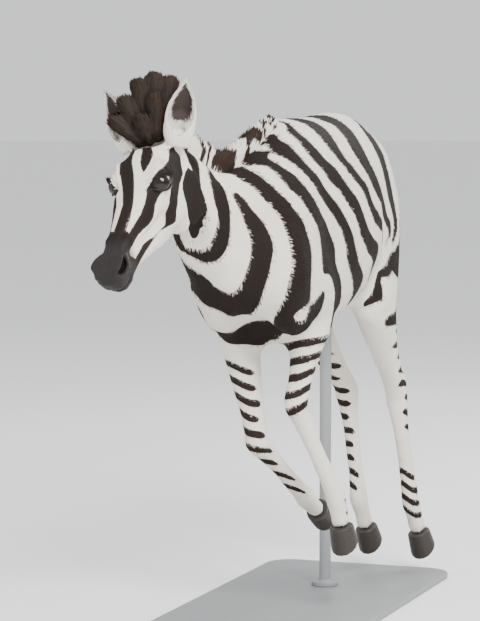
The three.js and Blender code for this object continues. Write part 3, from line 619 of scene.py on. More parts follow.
for _ in range(3):
    # the stripes need even faces
    away = [edge for edge in fine.edges
            if edge.verts[0].co.x < skinShape["headFrom"] or edge.verts[0].co.z < skinShape["headFoot"]]
    limits = ["legEdge" if edge.verts[0].co.z < skinShape["legTop"] else "bodyEdge" for edge in away]
    long = [edge for edge, limit in zip(away, limits) if edge.calc_length() > skinShape[limit]]
    bmesh.ops.subdivide_edges(fine, edges=long, cuts=1, smooth=0)
    bmesh.ops.triangulate(fine, faces=[face for face in fine.faces if len(face.verts) > 3])
    away = [edge for edge in fine.edges if max(vert.co.x for vert in edge.verts) < skinShape["neckFront"]]
    bmesh.ops.beautify_fill(fine, faces=list({face for edge in away for face in edge.link_faces}), edges=away)
for reach, centres in (("fineReach", eyeCentres + nostrilCentres), ("lidReach", eyeCentres)):
    near = set()
    for centre in centres:
        middle = Vector(centre)
        near.update(edge for edge in fine.edges if (edge.verts[0].co - middle).length < skinShape[reach])
    bmesh.ops.subdivide_edges(fine, edges=list(near), cuts=1, smooth=0)
    bmesh.ops.triangulate(fine, faces=[face for face in fine.faces if len(face.verts) > 3])
skinMesh = meshOf(fine, "skin")
points, edges = readPoints(skinMesh), readEdges(skinMesh)
close = np.min([np.linalg.norm(points - centre, axis=1) for centre in eyeCentres + nostrilCentres], axis=0)
points = evened(points, edges, 6, 0.4 * (close < skinShape["closeReach"]))
writePoints(skinMesh, points)
normals = readNormals(skinMesh)
slip = relaxed(points, edges, 6, 0.4 * (points[:, 0] < skinShape["neckFront"])) - points
points = points + slip - normals * np.sum(slip * normals, axis=1)[:, None]
legged = points[:, 2] <= skinShape["legTop"]
tailed = ease(-0.45, -0.42, points[:, 0]) * ~legged + legged
points = evened(points, edges, 12, 0.45 * (1 - ease(0.46, 0.51, points[:, 0])) * tailed)
writePoints(skinMesh, points)

# Muscles, bones and folds: where, how wide and how high, in millimetres on the head's own directions.
headForms = [
    ([(88, 46, 38), (110, 46, 33), (132, 41, 27)], 12, 4.6),  # brow over the eye
    ([(98, 56, -16), (122, 54, -14), (142, 47, -8)], 11, 2.4),  # lower rim of the orbit
    ([(58, 40, 36), (70, 44, 34)], 13, -3.5),  # hollow over the eye
    ([(150, 42, -12), (185, 38, -18), (215, 33, -22)], 9, 2.6),  # crest of the cheek
    ([(120, 40, -52), (135, 40, -46)], 34, 3.0),  # cheek muscle
    ([(180, 34, -40), (230, 30, -40)], 15, -2.5),  # hollow under the crest
    ([(140, 33, 14), (200, 29, 8), (262, 28, 3)], 13, 3.4),  # side of the nose
    ([(268, 30, 2), (300, 31, 4)], 13, 4.2),  # side of the muzzle
    ([(300, 26, 12), (318, 32, 12), (340, 34, 8)], 8, 2.2),  # upper rim of the nostril
    ([(350, 0, -50), (341, 20, -48), (320, 28, -46), (288, 31, -41)], 4.0, -4.4),  # mouth
    ([(332, 0, 6), (325, 11, 7), (313, 20, 7), (297, 24, 2), (282, 25, -3)], 3.6, -2.2),  # fold over the nose
    ([(352, 0, -4), (350, 10, -4), (345, 21, 1)], 3.0, -1.5),  # lower edge of the nose
    ([(352, 10, -38), (338, 26, -38), (318, 33, -38)], 8, 1.8),  # upper lip
    ([(352, 0, -20), (350, 0, -40)], 3.5, -1.2),  # groove of the upper lip
]
bodyForms = [  # the same in centimetres, on the foal's left; the right side has them too
    ([(30, 12, 90), (24, 13, 78), (18, 12, 70)], 3.2, 0.35), ([(22, 12, 92), (14, 13, 80)], 2.6, -0.25),
    ([(16, 13, 68), (13, 11, 62)], 3.4, 0.5), ([(-18, 13, 95), (-30, 12, 82), (-34, 11, 72)], 5.0, 0.45),
    ([(-14, 13, 88), (-20, 13, 76)], 3.0, -0.3), ([(-30, 11, 66), (-38, 9, 52)], 3.0, 0.25),
    ([(-36, 11, 60), (-41, 10, 50)], 1.4, -0.3), ([(-42, 10, 46), (-43, 9, 42)], 1.8, 0.35),
] + [([(x, 14, 96), (x - 4, 15.5, 86), (x - 5, 14, 76)], 1.0, 0.12) for x in (10, 5.5, 1, -3.5, -8)]


def raised(points, normals, line, reach, height):
    far = np.full(len(points), 9.0)
    for one, two in zip(line[:-1], line[1:]):
        one, two = np.array(one), np.array(two)
        step = np.clip((points - one) @ (two - one) / ((two - one) @ (two - one)), 0, 1)[:, None]
        far = np.minimum(far, np.linalg.norm(points - one - step * (two - one), axis=1))
    return points + normals * (height * np.exp(-(far / reach) ** 2))[:, None]


normals = readNormals(skinMesh)
for line, reach, height in headForms:
    for hand in hands:
        if hand > 0 or any(spot[1] for spot in line):
            spots = [tuple(onHead(x / 1000, hand * y / 1000, z / 1000)) for x, y, z in line]
            points = raised(points, normals, spots, reach / 1000, height / 1000)
for line, reach, height in bodyForms:
    for hand in hands:
        spots = [(x / 100, hand * y / 100, z / 100) for x, y, z in line]
        points = raised(points, normals, spots, reach / 100, height / 100)

# Eyelids: an almond opening over each ball, with a rim and a crease.
lidMark, nostrilMark = np.full(len(points), 0.05), np.full(len(points), 9.0)
gazes = []
for hand, centre in zip(hands, eyeCentres):
    gaze = unit(np.array(faceLeft * hand * 0.90 + faceAxis * 0.38 + faceOut * 0.16))
    slant = np.array(faceAxis * 0.90 + faceOut * 0.27)
    slant = unit(slant - gaze * (slant @ gaze))
    over = np.cross(gaze, slant) * hand
    over = over * np.sign(over @ np.array(faceOut))
    gazes.append((gaze, slant, over))
    off = points - centre
    far = np.linalg.norm(off, axis=1)
    ray = off / np.maximum(far, 1e-6)[:, None]
    x, y, ahead = ray @ slant, ray @ over, ray @ gaze
    share = np.clip(1 - (x / eyeShape["width"]) ** 2, 0, 1)
    upper = eyeShape["upper"] * share ** 0.75 + eyeShape["upperTurn"] * x
    lower = -eyeShape["lower"] * share ** 0.9 + eyeShape["lowerTurn"] * x
    edge = np.maximum(np.maximum(y - upper, lower - y), (np.abs(x) - eyeShape["width"]) * 0.9)
    edge = edge * eyeShape["radius"]
    edge = np.where(ahead > 0, edge, 0.05)
    near = (far < eyeShape["reach"]) & (ahead > 0)
    lid = eyeShape["radius"] + eyeShape["lid"] - eyeShape["rimDepth"] * (1 - ease(-0.0011, 0.0006, edge))
    lid = lid + eyeShape["rimLip"] * ease(0.0, 0.003, edge)
    hold = ease(0.004, 0.015, edge)
    wanted = centre + ray * (lid * (1 - hold) + far * hold)[:, None]
    crease = np.exp(-((edge - eyeShape["creaseAt"]) / eyeShape["creaseWidth"]) ** 2)
    crease = crease * ease(-0.1, 0.2, y) * eyeShape["creaseDepth"]
    wanted = wanted - ray * crease[:, None]
    points = np.where(near[:, None], wanted, points)
    lidMark = np.where(near, np.minimum(lidMark, edge), lidMark)
writePoints(skinMesh, points)
normals = readNormals(skinMesh)
for hand, centre in zip(hands, nostrilCentres):
    facing = unit(np.array(faceLeft * hand * 0.8 + faceAxis * 0.45 + faceOut * 0.35))
    run = np.array(faceAxis * 0.97 - faceOut * 0.24 - faceLeft * hand * 0.10)
    run = unit(run - facing * (run @ facing))
    across = np.cross(facing, run)
    off = points - centre
    length = off @ run
    width = off @ across * hand - nostril["shift"] + nostril["curve"] * length * length
    oval = np.hypot(length / nostril["length"], width / nostril["width"])
    near = np.linalg.norm(off, axis=1) < nostril["reach"]
    rim = nostril["rimHeight"] * np.exp(-((oval - nostril["rimAt"]) / nostril["rimWidth"]) ** 2)
    push = -nostril["depth"] * (1 - ease(0.4, 1.0, oval)) + rim
    points = points + facing * (push * near)[:, None]
    nostrilMark = np.where(near, np.minimum(nostrilMark, oval), nostrilMark)
writePoints(skinMesh, points)

# What the hair and the colours need at each point of the skin.
points, normals, edges = readPoints(skinMesh), readNormals(skinMesh), readEdges(skinMesh)
parts = partsOf(points)
way, angle, apart, course = along(points, parts)
trunkish = (parts == lineNumber["trunk"])[:, None]
sag = np.array([0, 0, skinShape["sag"]]) * (1 - np.abs(normals[:, 2:]))
lie = np.where(trunkish, unit(course + sag), course)  # the way the hair lies
lie = relaxed(lie, edges, skinShape["lieSteps"], 0.5)
lie = unit(lie - normals * np.sum(lie * normals, axis=1)[:, None])
down, left, out = headPlace(points)
inner = np.zeros(len(points))
for number, root, up, opening in zip(earNumbers, earRoot, earUp, earOpen):
    # the hollow of the ear: its wall faces the ear's own middle line; the skin's colour is darkened there as
    # painted shade, over the ear's darker inner skin
    rise, apartness, off = inEar(points, root, up, opening)
    facing = -np.sum(unit(off) * normals, axis=1)
    hollow = np.maximum(ease(-0.1, 0.45, facing), 1 - ease(0.60, 0.74, apartness)) * ease(0.24, 0.34, rise)
    inner = np.maximum(inner, hollow * (parts == number))
inner = relaxed(inner, edges, 2, 0.5)[:, 0]
stripe = markings(points, parts, way, angle, normals)
bare = ease(0.262, 0.30, down) * (points[:, 0] > 0.5)
bare = np.maximum(bare, 1 - ease(0.0, 0.004, lidMark))
bare = np.maximum(bare, 1 - ease(0.9, 1.4, nostrilMark))
lidStripe = 0.024 * (1 - ease(0.001, 0.006, lidMark)) - 0.014  # a dark rim round each eye
stripe = np.maximum(stripe, lidStripe)
print("markings are set on", len(points), "points")


def keep(mesh, name, kind, values):
    attribute = mesh.attributes.new(name, kind, "POINT")
    slot = "value" if kind == "FLOAT" else "vector"
    attribute.data.foreach_set(slot, np.asarray(values, np.float32).ravel())


grain = np.stack([np.cos(angle) * apart, np.sin(angle) * apart, way + parts * 3.0], 1)
# the middle of each nostril's hollow, painted near black in the skin's colour as painted shade
pit = 1 - ease(0.5, 1.0, nostrilMark)
for name, values in {"stripe": stripe, "bare": bare, "nostril": pit, "inner": inner}.items():
    keep(skinMesh, name, "FLOAT", values)
keep(skinMesh, "grain", "FLOAT_VECTOR", grain)
skin = place(show("skin", finished(skinMesh)), "coat", *fleshNodes)

# Eyes.
eyes = []
for name, centre, (gaze, slant, over) in zip(("left", "right"), eyeCentres, gazes):
    ball = bmesh.new()
    bmesh.ops.create_icosphere(ball, subdivisions=5, radius=eyeShape["radius"])
    mesh = meshOf(ball, "eye")
    ray = unit(readPoints(mesh))
    facing = ray @ gaze
    bulge = 1 + 0.045 * ease(0.80, 1.0, facing)  # the clear front stands out a little
    writePoints(mesh, ray * (eyeShape["radius"] * bulge)[:, None] + centre)
    keep(mesh, "gaze", "FLOAT_VECTOR", np.stack([ray @ slant, ray @ over, facing], 1))
    eyes.append(place(show(f"eye_{name}_ball", finished(mesh)), "eye", "eye_" + name))

# Hooves.
hoofShape = {"voxel": 0.0016, "ringHeight": 0.00012, "ringPace": 1500}
hooves = []
for name in [node for node in nodes if node.startswith("hoof")]:
    mesh = copyOf([name], {"rest": 0.0})
    mesh = through(mesh, "REMESH", mode="VOXEL", voxel_size=hoofShape["voxel"])
    points, edges = readPoints(mesh), readEdges(mesh)
    points = evened(points, edges, 30, 0.5)
    line = np.array(bodyLines[lineOf[name.replace("hoof_", "") + "_lower"]], float)
    axis = unit(line[-1] - line[-2])
    level = (points - line[-1]) @ axis
    writePoints(mesh, points)
    rings = hoofShape["ringHeight"] * np.sin(level * hoofShape["ringPace"])  # growth rings
    points = points + readNormals(mesh) * (rings * ease(-0.06, -0.05, level))[:, None]
    writePoints(mesh, points)
    keep(mesh, "level", "FLOAT", level)
    hooves.append(place(show(name + "_horn", finished(mesh)), "hoof", name))
print("eyes and hooves are made")

# Hair: one small closed strand, copied along arrays.
def strandForm(rings):
    # a three-sided strand that ends in a point at both ends: rings are (way along, half width)
    form = bmesh.new()
    loop = bmesh.ops.create_circle(form, segments=3, radius=rings[0][1])["verts"]
    bmesh.ops.translate(form, verts=loop, vec=(0, 0, rings[0][0]))
    first, last = loop, loop
    edgesNow = list(form.edges)
    for (before, narrow), (after, wide) in zip(rings[:-1], rings[1:]):
        made = bmesh.ops.extrude_edge_only(form, edges=edgesNow)["geom"]
        last = [item for item in made if isinstance(item, bmesh.types.BMVert)]
        edgesNow = [item for item in made if isinstance(item, bmesh.types.BMEdge)]
        bmesh.ops.translate(form, verts=last, vec=(0, 0, after - before))
        bmesh.ops.scale(form, verts=last, vec=(wide / narrow, wide / narrow, 1))
    for ring, height in ((first, 0.0), (last, 1.0)):
        cap = bmesh.ops.contextual_create(form, geom=ring)["faces"]
        bmesh.ops.poke(form, faces=cap)
        form.verts.ensure_lookup_table()
        form.verts[-1].co = (0, 0, height)
    bmesh.ops.recalc_face_normals(form, faces=form.faces)
    bmesh.ops.triangulate(form, faces=form.faces)
    form.verts.index_update()
    spots = np.array([vert.co[:] for vert in form.verts])
    faces = np.array([[vert.index for vert in face.verts] for face in form.faces])
    form.free()
    return spots, faces


tuftForm, lockForm = strandForm([(0.42, 1.0)]), strandForm([(0.12, 0.7), (0.45, 1.0), (0.8, 0.62)])


def layStrands(name, form, roots, normals, start, end, length, width, flatness, sheets, marks, tones, slot):
    # Each strand takes its light from the surface it lies on, rounded a little over its own width.
    spots, faces = form
    count = len(roots)
    step = spots[:, 2][None, :, None]
    run = start[:, None] * (step - step * step / 2) + end[:, None] * (step * step / 2)
    aside = unit(np.cross(normals, start + end))
    up = unit(np.cross(start + end, aside))
    wide = spots[:, 0][None, :, None] * width[:, None, None]
    high = spots[:, 1][None, :, None] * width[:, None, None] * flatness
    cloud = roots[:, None] + run * length[:, None, None] + aside[:, None] * wide + up[:, None] * high
    mesh = bpy.data.meshes.new(name)
    mesh.vertices.add(count * len(spots))
    mesh.vertices.foreach_set("co", cloud.astype(np.float32).ravel())
    corners = (faces[None] + np.arange(count)[:, None, None] * len(spots)).reshape(-1)
    mesh.loops.add(len(corners))
    mesh.loops.foreach_set("vertex_index", corners.astype(np.int32))
    mesh.polygons.add(len(corners) // 3)
    mesh.polygons.foreach_set("loop_start", np.arange(0, len(corners), 3, dtype=np.int32))
    mesh.update(calc_edges=True)
    keep(mesh, "stripe", "FLOAT", np.repeat(marks, len(spots)))
    keep(mesh, "tone", "FLOAT", np.repeat(tones, len(spots)))
    keep(mesh, "tip", "FLOAT", np.tile(spots[:, 2], count))
    local = np.stack([spots[:, 0] * 0.0012, (spots[:, 2] - 0.5) * 0.0026], 1)
    spread = (sheets[:, None] + local[None]).reshape(-1, 2)[corners]
    mesh.uv_layers.new(name="OFBake").data.foreach_set("uv", spread.astype(np.float32).ravel())
    finished(mesh)
    bend = spots[:, 0][None, :, None] / np.abs(spots[:, 0]).max() * 0.55 * aside[:, None]
    mesh.normals_split_custom_set_from_vertices(unit(normals[:, None] + bend).reshape(-1, 3))
    return place(show(name, mesh), slot)


def scatter(mesh, count, rng, chosen=None):
    # places spread over a mesh: the face's corners and how near the place is to each
    corners = np.empty(len(mesh.polygons) * 3, np.int32)
    mesh.loops.foreach_get("vertex_index", corners)
    corners = corners.reshape(-1, 3)
    spots = readPoints(mesh)
    size = np.linalg.norm(np.cross(spots[corners[:, 1]] - spots[corners[:, 0]],
                                   spots[corners[:, 2]] - spots[corners[:, 0]]), axis=1)
    if chosen is not None:
        size = size * chosen[corners].mean(axis=1)
    ladder = np.cumsum(size)
    picked = np.searchsorted(ladder, (np.arange(count) + rng.random(count)) / count * ladder[-1])
    corners = corners[np.minimum(picked, len(corners) - 1)]
    a, b = rng.random((2, count))
    flip = a + b > 1
    a, b = np.where(flip, 1 - a, a), np.where(flip, 1 - b, b)
    return corners, np.stack([1 - a - b, a, b], 1)


def spreadOver(values, corners, shares):
    return np.einsum("ij...,ij->i...", values[corners], shares)


# The short coat, smallest on the face and feet.
coat = {"tufts": 150000, "pieces": 6, "body": 0.0105, "leg": 0.0060,
        "face": 0.0052, "width": 0.0011, "lift": 0.17, "tipLift": -0.03,
        "sunk": 0.0006, "flatness": 0.45, "stray": 0.15, "headMore": 1.6,
        "legMore": 0.8, "earMore": 1.0}
points, normals = readPoints(skinMesh), readNormals(skinMesh)
rng = np.random.default_rng(7)
headish = (parts == lineNumber["head"]) * 1.0
legish = np.isin(parts, [lineNumber[name] for name in legLines]) * (1 - ease(0.5, 0.7, points[:, 2]))
earish = np.isin(parts, earNumbers) * 1.0
density = 1 + coat["headMore"] * headish + coat["legMore"] * legish + coat["earMore"] * earish
density = density * (1 - bare) ** 2 * (inner < 0.04)
density = density * (1 - ease(0.262, 0.275, down) * headish)
corners, shares = scatter(skinMesh, coat["tufts"], rng, density)
roots, up = spreadOver(points, corners, shares), unit(spreadOver(normals, corners, shares))
flow = unit(spreadOver(lie, corners, shares) + rng.normal(0, coat["stray"], (len(roots), 3)))
flow = unit(flow - up * np.sum(flow * up, axis=1)[:, None])
rootParts = partsOf(roots)
rootWay, rootAngle = along(roots, rootParts)[:2]
marks = markings(roots, rootParts, rootWay, rootAngle, up)
marks = np.maximum(marks, spreadOver(lidStripe, corners, shares)) + rng.normal(0, 0.0010, len(roots))
share = np.maximum.reduce([spreadOver(headish, corners, shares), spreadOver(earish, corners, shares)])
limb = spreadOver(legish, corners, shares)
length = (coat["body"] * (1 - share) + coat["face"] * share) * (1 - limb) + coat["leg"] * limb
length = length * rng.uniform(0.75, 1.25, len(roots))
width = coat["width"] * (0.55 + 0.45 * length / coat["body"]) * rng.uniform(0.8, 1.3, len(roots))
tones = rng.random(len(roots))
sheets = unwrap(roots, rootParts)
for number in range(coat["pieces"]):
    some = slice(number, None, coat["pieces"])
    layStrands(f"coat_{number + 1}", tuftForm, (roots - up * coat["sunk"])[some], up[some],
               unit(flow + up * coat["lift"])[some], unit(flow + up * coat["tipLift"])[some],
               length[some], width[some], coat["flatness"], sheets[some], marks[some], tones[some], "coat")
print("coat:", len(roots), "tufts")

# Fringe in the ears and lashes on the upper lids.
fringe = {"hairs": 1500, "length": 0.013, "width": 0.00040}
rng = np.random.default_rng(11)
rimmed = inner * (1 - inner) * 4 * (points[:, 2] > 0.9)
corners, shares = scatter(skinMesh, fringe["hairs"], rng, rimmed)
roots, up = spreadOver(points, corners, shares), unit(spreadOver(normals, corners, shares))
which = np.where(parts[corners[:, 0]] == earNumbers[1], 1, 0)
rise, opening = np.array(earUp)[which], np.array(earOpen)[which]
off = roots - np.array(earRoot)[which]
inward = -unit(off - rise * np.sum(off * rise, axis=1)[:, None])
flow = unit(inward * 0.50 + rise * 0.85 + opening * 0.10 + rng.normal(0, 0.10, roots.shape))
count = len(roots)
layStrands("ear_fringe", lockForm, roots, unit(opening + inward * 0.3), unit(flow + opening * 0.3), flow,
           fringe["length"] * rng.uniform(0.6, 1.2, count), np.full(count, fringe["width"]), 0.6,
           unwrap(roots, parts[corners[:, 0]]), np.full(count, -0.01), rng.random(count), "coat")

lashes = {"hairs": 34, "length": 0.013, "width": 0.00055, "sunk": 0.0004, "flatness": 0.8, "inner": -0.90,
          "outer": 0.45}
for name, hand, centre, (gaze, slant, over) in zip(("left", "right"), hands, eyeCentres, gazes):
    rng = np.random.default_rng(5)
    x = np.linspace(lashes["inner"], lashes["outer"], lashes["hairs"]) + rng.normal(0, 0.01, lashes["hairs"])
    y = eyeShape["upper"] * (1 - (x / eyeShape["width"]) ** 2) ** 0.75 + eyeShape["upperTurn"] * x
    ahead = np.sqrt(np.maximum(1 - x * x - y * y, 0.04))
    ray = unit(x[:, None] * slant + y[:, None] * over + ahead[:, None] * gaze)
    flow = unit(ray * 0.9 + over * 0.30 - slant * np.linspace(0.75, 0.15, len(x))[:, None])
    size = lashes["length"] * rng.uniform(0.7, 1.1, len(x)) * np.linspace(1.15, 0.6, len(x))
    roots = centre + ray * (eyeShape["radius"] + eyeShape["lid"] - lashes["sunk"])
    sheets = unwrap(roots, np.full(len(x), lineNumber["head"]))
    layStrands("lashes_" + name, lockForm, roots, ray, flow, unit(flow + over * 0.55), size,
               np.full(len(x), lashes["width"]), lashes["flatness"], sheets, np.full(len(x), 0.01),
               np.zeros(len(x)), "coat")

# Mane, forelock and tail: a core each, under locks.
# The two lifts are the slopes of a lock at its root and tip. The core is moved back by aside.
hairShape = {
    "mane": {"locks": 6500, "length": 0.019, "width": 0.0016, "voxel": 0.003, "steps": 10, "sunk": -0.0022,
             "lift": 0.16, "tipLift": -0.02, "stray": 0.09, "line": "neck", "aside": (0, 0, 0.014)},
    "forelock": {"locks": 6500, "length": 0.021, "width": 0.0014, "voxel": 0.0026, "steps": 2, "sunk": 0.0018,
                 "lift": 0.12, "tipLift": -0.16, "stray": 0.09, "line": "head"},
    "tail_switch": {"locks": 3000, "length": 0.050, "width": 0.0013, "voxel": 0.003, "steps": 10,
                    "sunk": 0.0040, "lift": 0.035, "tipLift": -0.07, "stray": 0.04, "line": "tail",
                    "aside": (0, 0.018, 0)},
}
forelockLobes = [  # root, tip and half width in millimetres, down the face, to its left and out of it
    ((26, -16, 38), (14, -54, 84), 17), ((18, -12, 40), (-15, -36, 103), 18.5),
    ((8, -6, 40), (-51, -14, 110), 22), ((2, 2, 40), (-68, 10, 106), 24),
    ((4, 12, 38), (-72, 34, 91), 22), ((10, 14, 36), (-24, 22, 92), 20),
    ((24, 0, 38), (10, -4, 72), 18), ((-8, 4, 34), (-64, 14, 78), 22),
]


def forelockForm():
    # overlapping balls that widen from each root to its tip; also the middle lines of the lobes
    form, lines = bmesh.new(), []
    for root, tip, half in forelockLobes:
        root, tip = (Vector(onHead(*[value / 1000 for value in spot])) for spot in (root, tip))
        lines.append((np.array(root), np.array(tip)))
        for step in np.linspace(0, 1, 12):
            size = half / 1000 * (0.68 + 0.32 * math.sin(step * math.pi * 0.5))
            bmesh.ops.create_icosphere(form, subdivisions=2, radius=size,
                                       matrix=Matrix.Translation(root.lerp(tip, step)))
    return meshOf(form, "forelock"), lines


cores = []
for name, shape in hairShape.items():
    if name == "forelock":
        mesh, lobeLines = forelockForm()
    else:
        mesh = copyOf([name], {"rest": 0.0005})
    mesh = through(mesh, "REMESH", mode="VOXEL", voxel_size=shape["voxel"])
    mesh = through(mesh, "TRIANGULATE")
    points, edges = readPoints(mesh), readEdges(mesh)
    points = evened(points, edges, shape["steps"], 0.4)
    writePoints(mesh, points)
    normals = readNormals(mesh)
    points = points - normals * shape["sunk"]
    writePoints(mesh, points)
    if name == "mane":
        points = points - np.array(shape["aside"])
        writePoints(mesh, points)
        flow = unit(np.array([[-0.25, 0, 1.0]]) + normals * 0.15)
        number, slope = stripeNumber(points, normals)
        mark = np.sin(math.pi * (number + 1)) * -0.006
    elif name == "forelock":
        mark = np.full(len(points), 0.01)
        near, flow = np.full(len(points), 9.0), np.zeros((len(points), 3))
        for root, tip in lobeLines:
            axis = unit(tip - root)
            step = np.clip((points - root) @ axis, 0, np.linalg.norm(tip - root))[:, None]
            far = np.linalg.norm(points - root - step * axis, axis=1)
            flow = np.where((far < near)[:, None], axis, flow)
            near = np.minimum(near, far)
    else:
        points = points - np.array(shape["aside"]) * (1 - ease(0.50, 0.70, points[:, 2]))[:, None]
        writePoints(mesh, points)
        flow = np.tile(unit(np.array([-0.10, 0.03, -1.0])), (len(points), 1))
        mark = np.full(len(points), 0.01)
    flow = unit(relaxed(flow, edges, 4, 0.5))
    if name == "forelock":
        ahead = np.sum(flow * normals, axis=1)
        flow = unit(flow - normals * (ahead * 0.85)[:, None])
        tipness = 1 - 0.6 * ease(0.3, 1.0, ahead)
    else:
        tipness = np.ones(len(points))
    keep(mesh, "stripe", "FLOAT", mark)
    keep(mesh, "grain", "FLOAT_VECTOR", points)
    cores.append(place(show(name + "_core", finished(mesh)), "mane", name))
    rng = np.random.default_rng(len(name))
    count = shape["locks"] // 1
    corners, shares = scatter(mesh, count, rng)
    roots, up = spreadOver(points, corners, shares), unit(spreadOver(normals, corners, shares))
    run = unit(spreadOver(flow, corners, shares) + rng.normal(0, shape["stray"], (count, 3)))
    marks = spreadOver(mark, corners, shares) + rng.normal(0, 0.0008, count)
    length = shape["length"] * rng.uniform(0.6, 1.15, count) * spreadOver(tipness, corners, shares)
    layStrands(name + "_locks", lockForm, roots - up * 0.001, up, unit(run + up * shape["lift"]),
               unit(run + up * shape["tipLift"]), length, shape["width"] * rng.uniform(0.7, 1.3, count), 0.6,
               unwrap(roots, np.full(count, lineNumber[shape["line"]])), marks, rng.random(count), "mane")
print("mane, forelock and tail are made")

# Stand: a rounded plate, a rod and a collar.
plateShape = {"corner": 0.060, "edge": 0.0025, "sharp": 32}
low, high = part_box("stand_base")
plate = bmesh.new()
bmesh.ops.create_cube(plate, size=1)
bmesh.ops.scale(plate, verts=plate.verts, vec=high - low)
bmesh.ops.translate(plate, verts=plate.verts, vec=(high + low) / 2)
upright = [edge for edge in plate.edges if abs(edge.verts[0].co.z - edge.verts[1].co.z) > 0.005]
bmesh.ops.bevel(plate, geom=upright, offset=plateShape["corner"], segments=12, affect="EDGES",
                profile=0.5, material=-1)
rim = [edge for edge in plate.edges if abs(edge.verts[0].co.z - edge.verts[1].co.z) < 1e-5]
bmesh.ops.bevel(plate, geom=rim, offset=plateShape["edge"], segments=3, affect="EDGES",
                profile=0.5, material=-1)
plateMesh = finished(meshOf(plate, "plate"))
plateMesh.set_sharp_from_angle(angle=math.radians(plateShape["sharp"]))
low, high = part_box("stand_rod")
rodShape = {"radius": 0.013, "collar": 0.030, "collarHeight": 0.010, "sharp": 40}
rod = bmesh.new()
shaft, collar, foot, top = rodShape["radius"], rodShape["collar"], low.z, high.z
shoulder = foot + rodShape["collarHeight"]
outline = [(0, foot), (collar - 0.001, foot), (collar, foot + 0.001), (collar, shoulder - 0.002),
           (collar - 0.002, shoulder), (shaft + 0.003, shoulder), (shaft, shoulder + 0.003),
           (shaft, top - 0.002), (shaft - 0.002, top), (0, top)]
middle = (low + high) / 2
verts = [rod.verts.new((middle.x + reach, middle.y, height)) for reach, height in outline]
profile = [rod.edges.new(pair) for pair in zip(verts[:-1], verts[1:])]
bmesh.ops.spin(rod, geom=verts + profile, cent=(middle.x, middle.y, 0), axis=(0, 0, 1), angle=2 * math.pi,
               steps=48, use_merge=True)
bmesh.ops.remove_doubles(rod, verts=rod.verts, dist=1e-5)
bmesh.ops.recalc_face_normals(rod, faces=rod.faces)
rodMesh = finished(meshOf(rod, "rod"))
rodMesh.set_sharp_from_angle(angle=math.radians(rodShape["sharp"]))
standPieces = [place(show("stand_plate", plateMesh), "stand", "stand_base"),
               place(show("stand_post", rodMesh), "stand", "stand_rod")]

# Floor and light.
ground = bmesh.new()
bmesh.ops.create_circle(ground, cap_ends=True, segments=64, radius=40)
floor = show("floor", meshOf(ground, "floor"))
floor.location.z = -0.001
world = bpy.data.worlds.new("studio")
scene.world = world
world.use_nodes = True
background = world.node_tree.nodes["Background"]
background.inputs["Color"].default_value = (0.93, 0.94, 0.95, 1)
background.inputs["Strength"].default_value = 1.05
lamps = {
    "key": {"at": (3.2, 2.6, 3.6), "size": 2.2, "power": 430},
    "fill": {"at": (3.6, -3.4, 2.0), "size": 3.0, "power": 60},
    "back": {"at": (-3.0, 1.2, 3.2), "size": 2.4, "power": 120},
}
lampTarget = Vector((0.1, -0.05, 0.7))
for name, lamp in lamps.items():
    light = bpy.data.objects.new(name, bpy.data.lights.new(name, "AREA"))
    light.data.size, light.data.energy = lamp["size"], lamp["power"]
    light.location = lamp["at"]
    light.rotation_euler = (Vector(lamp["at"]) - lampTarget).to_track_quat("Z", "Y").to_euler()
    scene.collection.objects.link(light)


# Finishes, written as sums on sockets.
class Wire:
    def __init__(self, finish, socket):
        self.finish, self.socket = finish, socket

    def sum(self, operation, one, two):
        return self.finish.node("ShaderNodeMath", {"operation": operation}, one, two)

    def __add__(self, other):
        return self.sum("ADD", self, other)

    def __radd__(self, other):
        return self.sum("ADD", other, self)

    def __sub__(self, other):
        return self.sum("SUBTRACT", self, other)

    def __rsub__(self, other):
        return self.sum("SUBTRACT", other, self)

    def __mul__(self, other):
        return self.sum("MULTIPLY", self, other)

    def __rmul__(self, other):
        return self.sum("MULTIPLY", other, self)

    def __truediv__(self, other):
        return self.sum("DIVIDE", self, other)

    def __rtruediv__(self, other):
        return self.sum("DIVIDE", other, self)


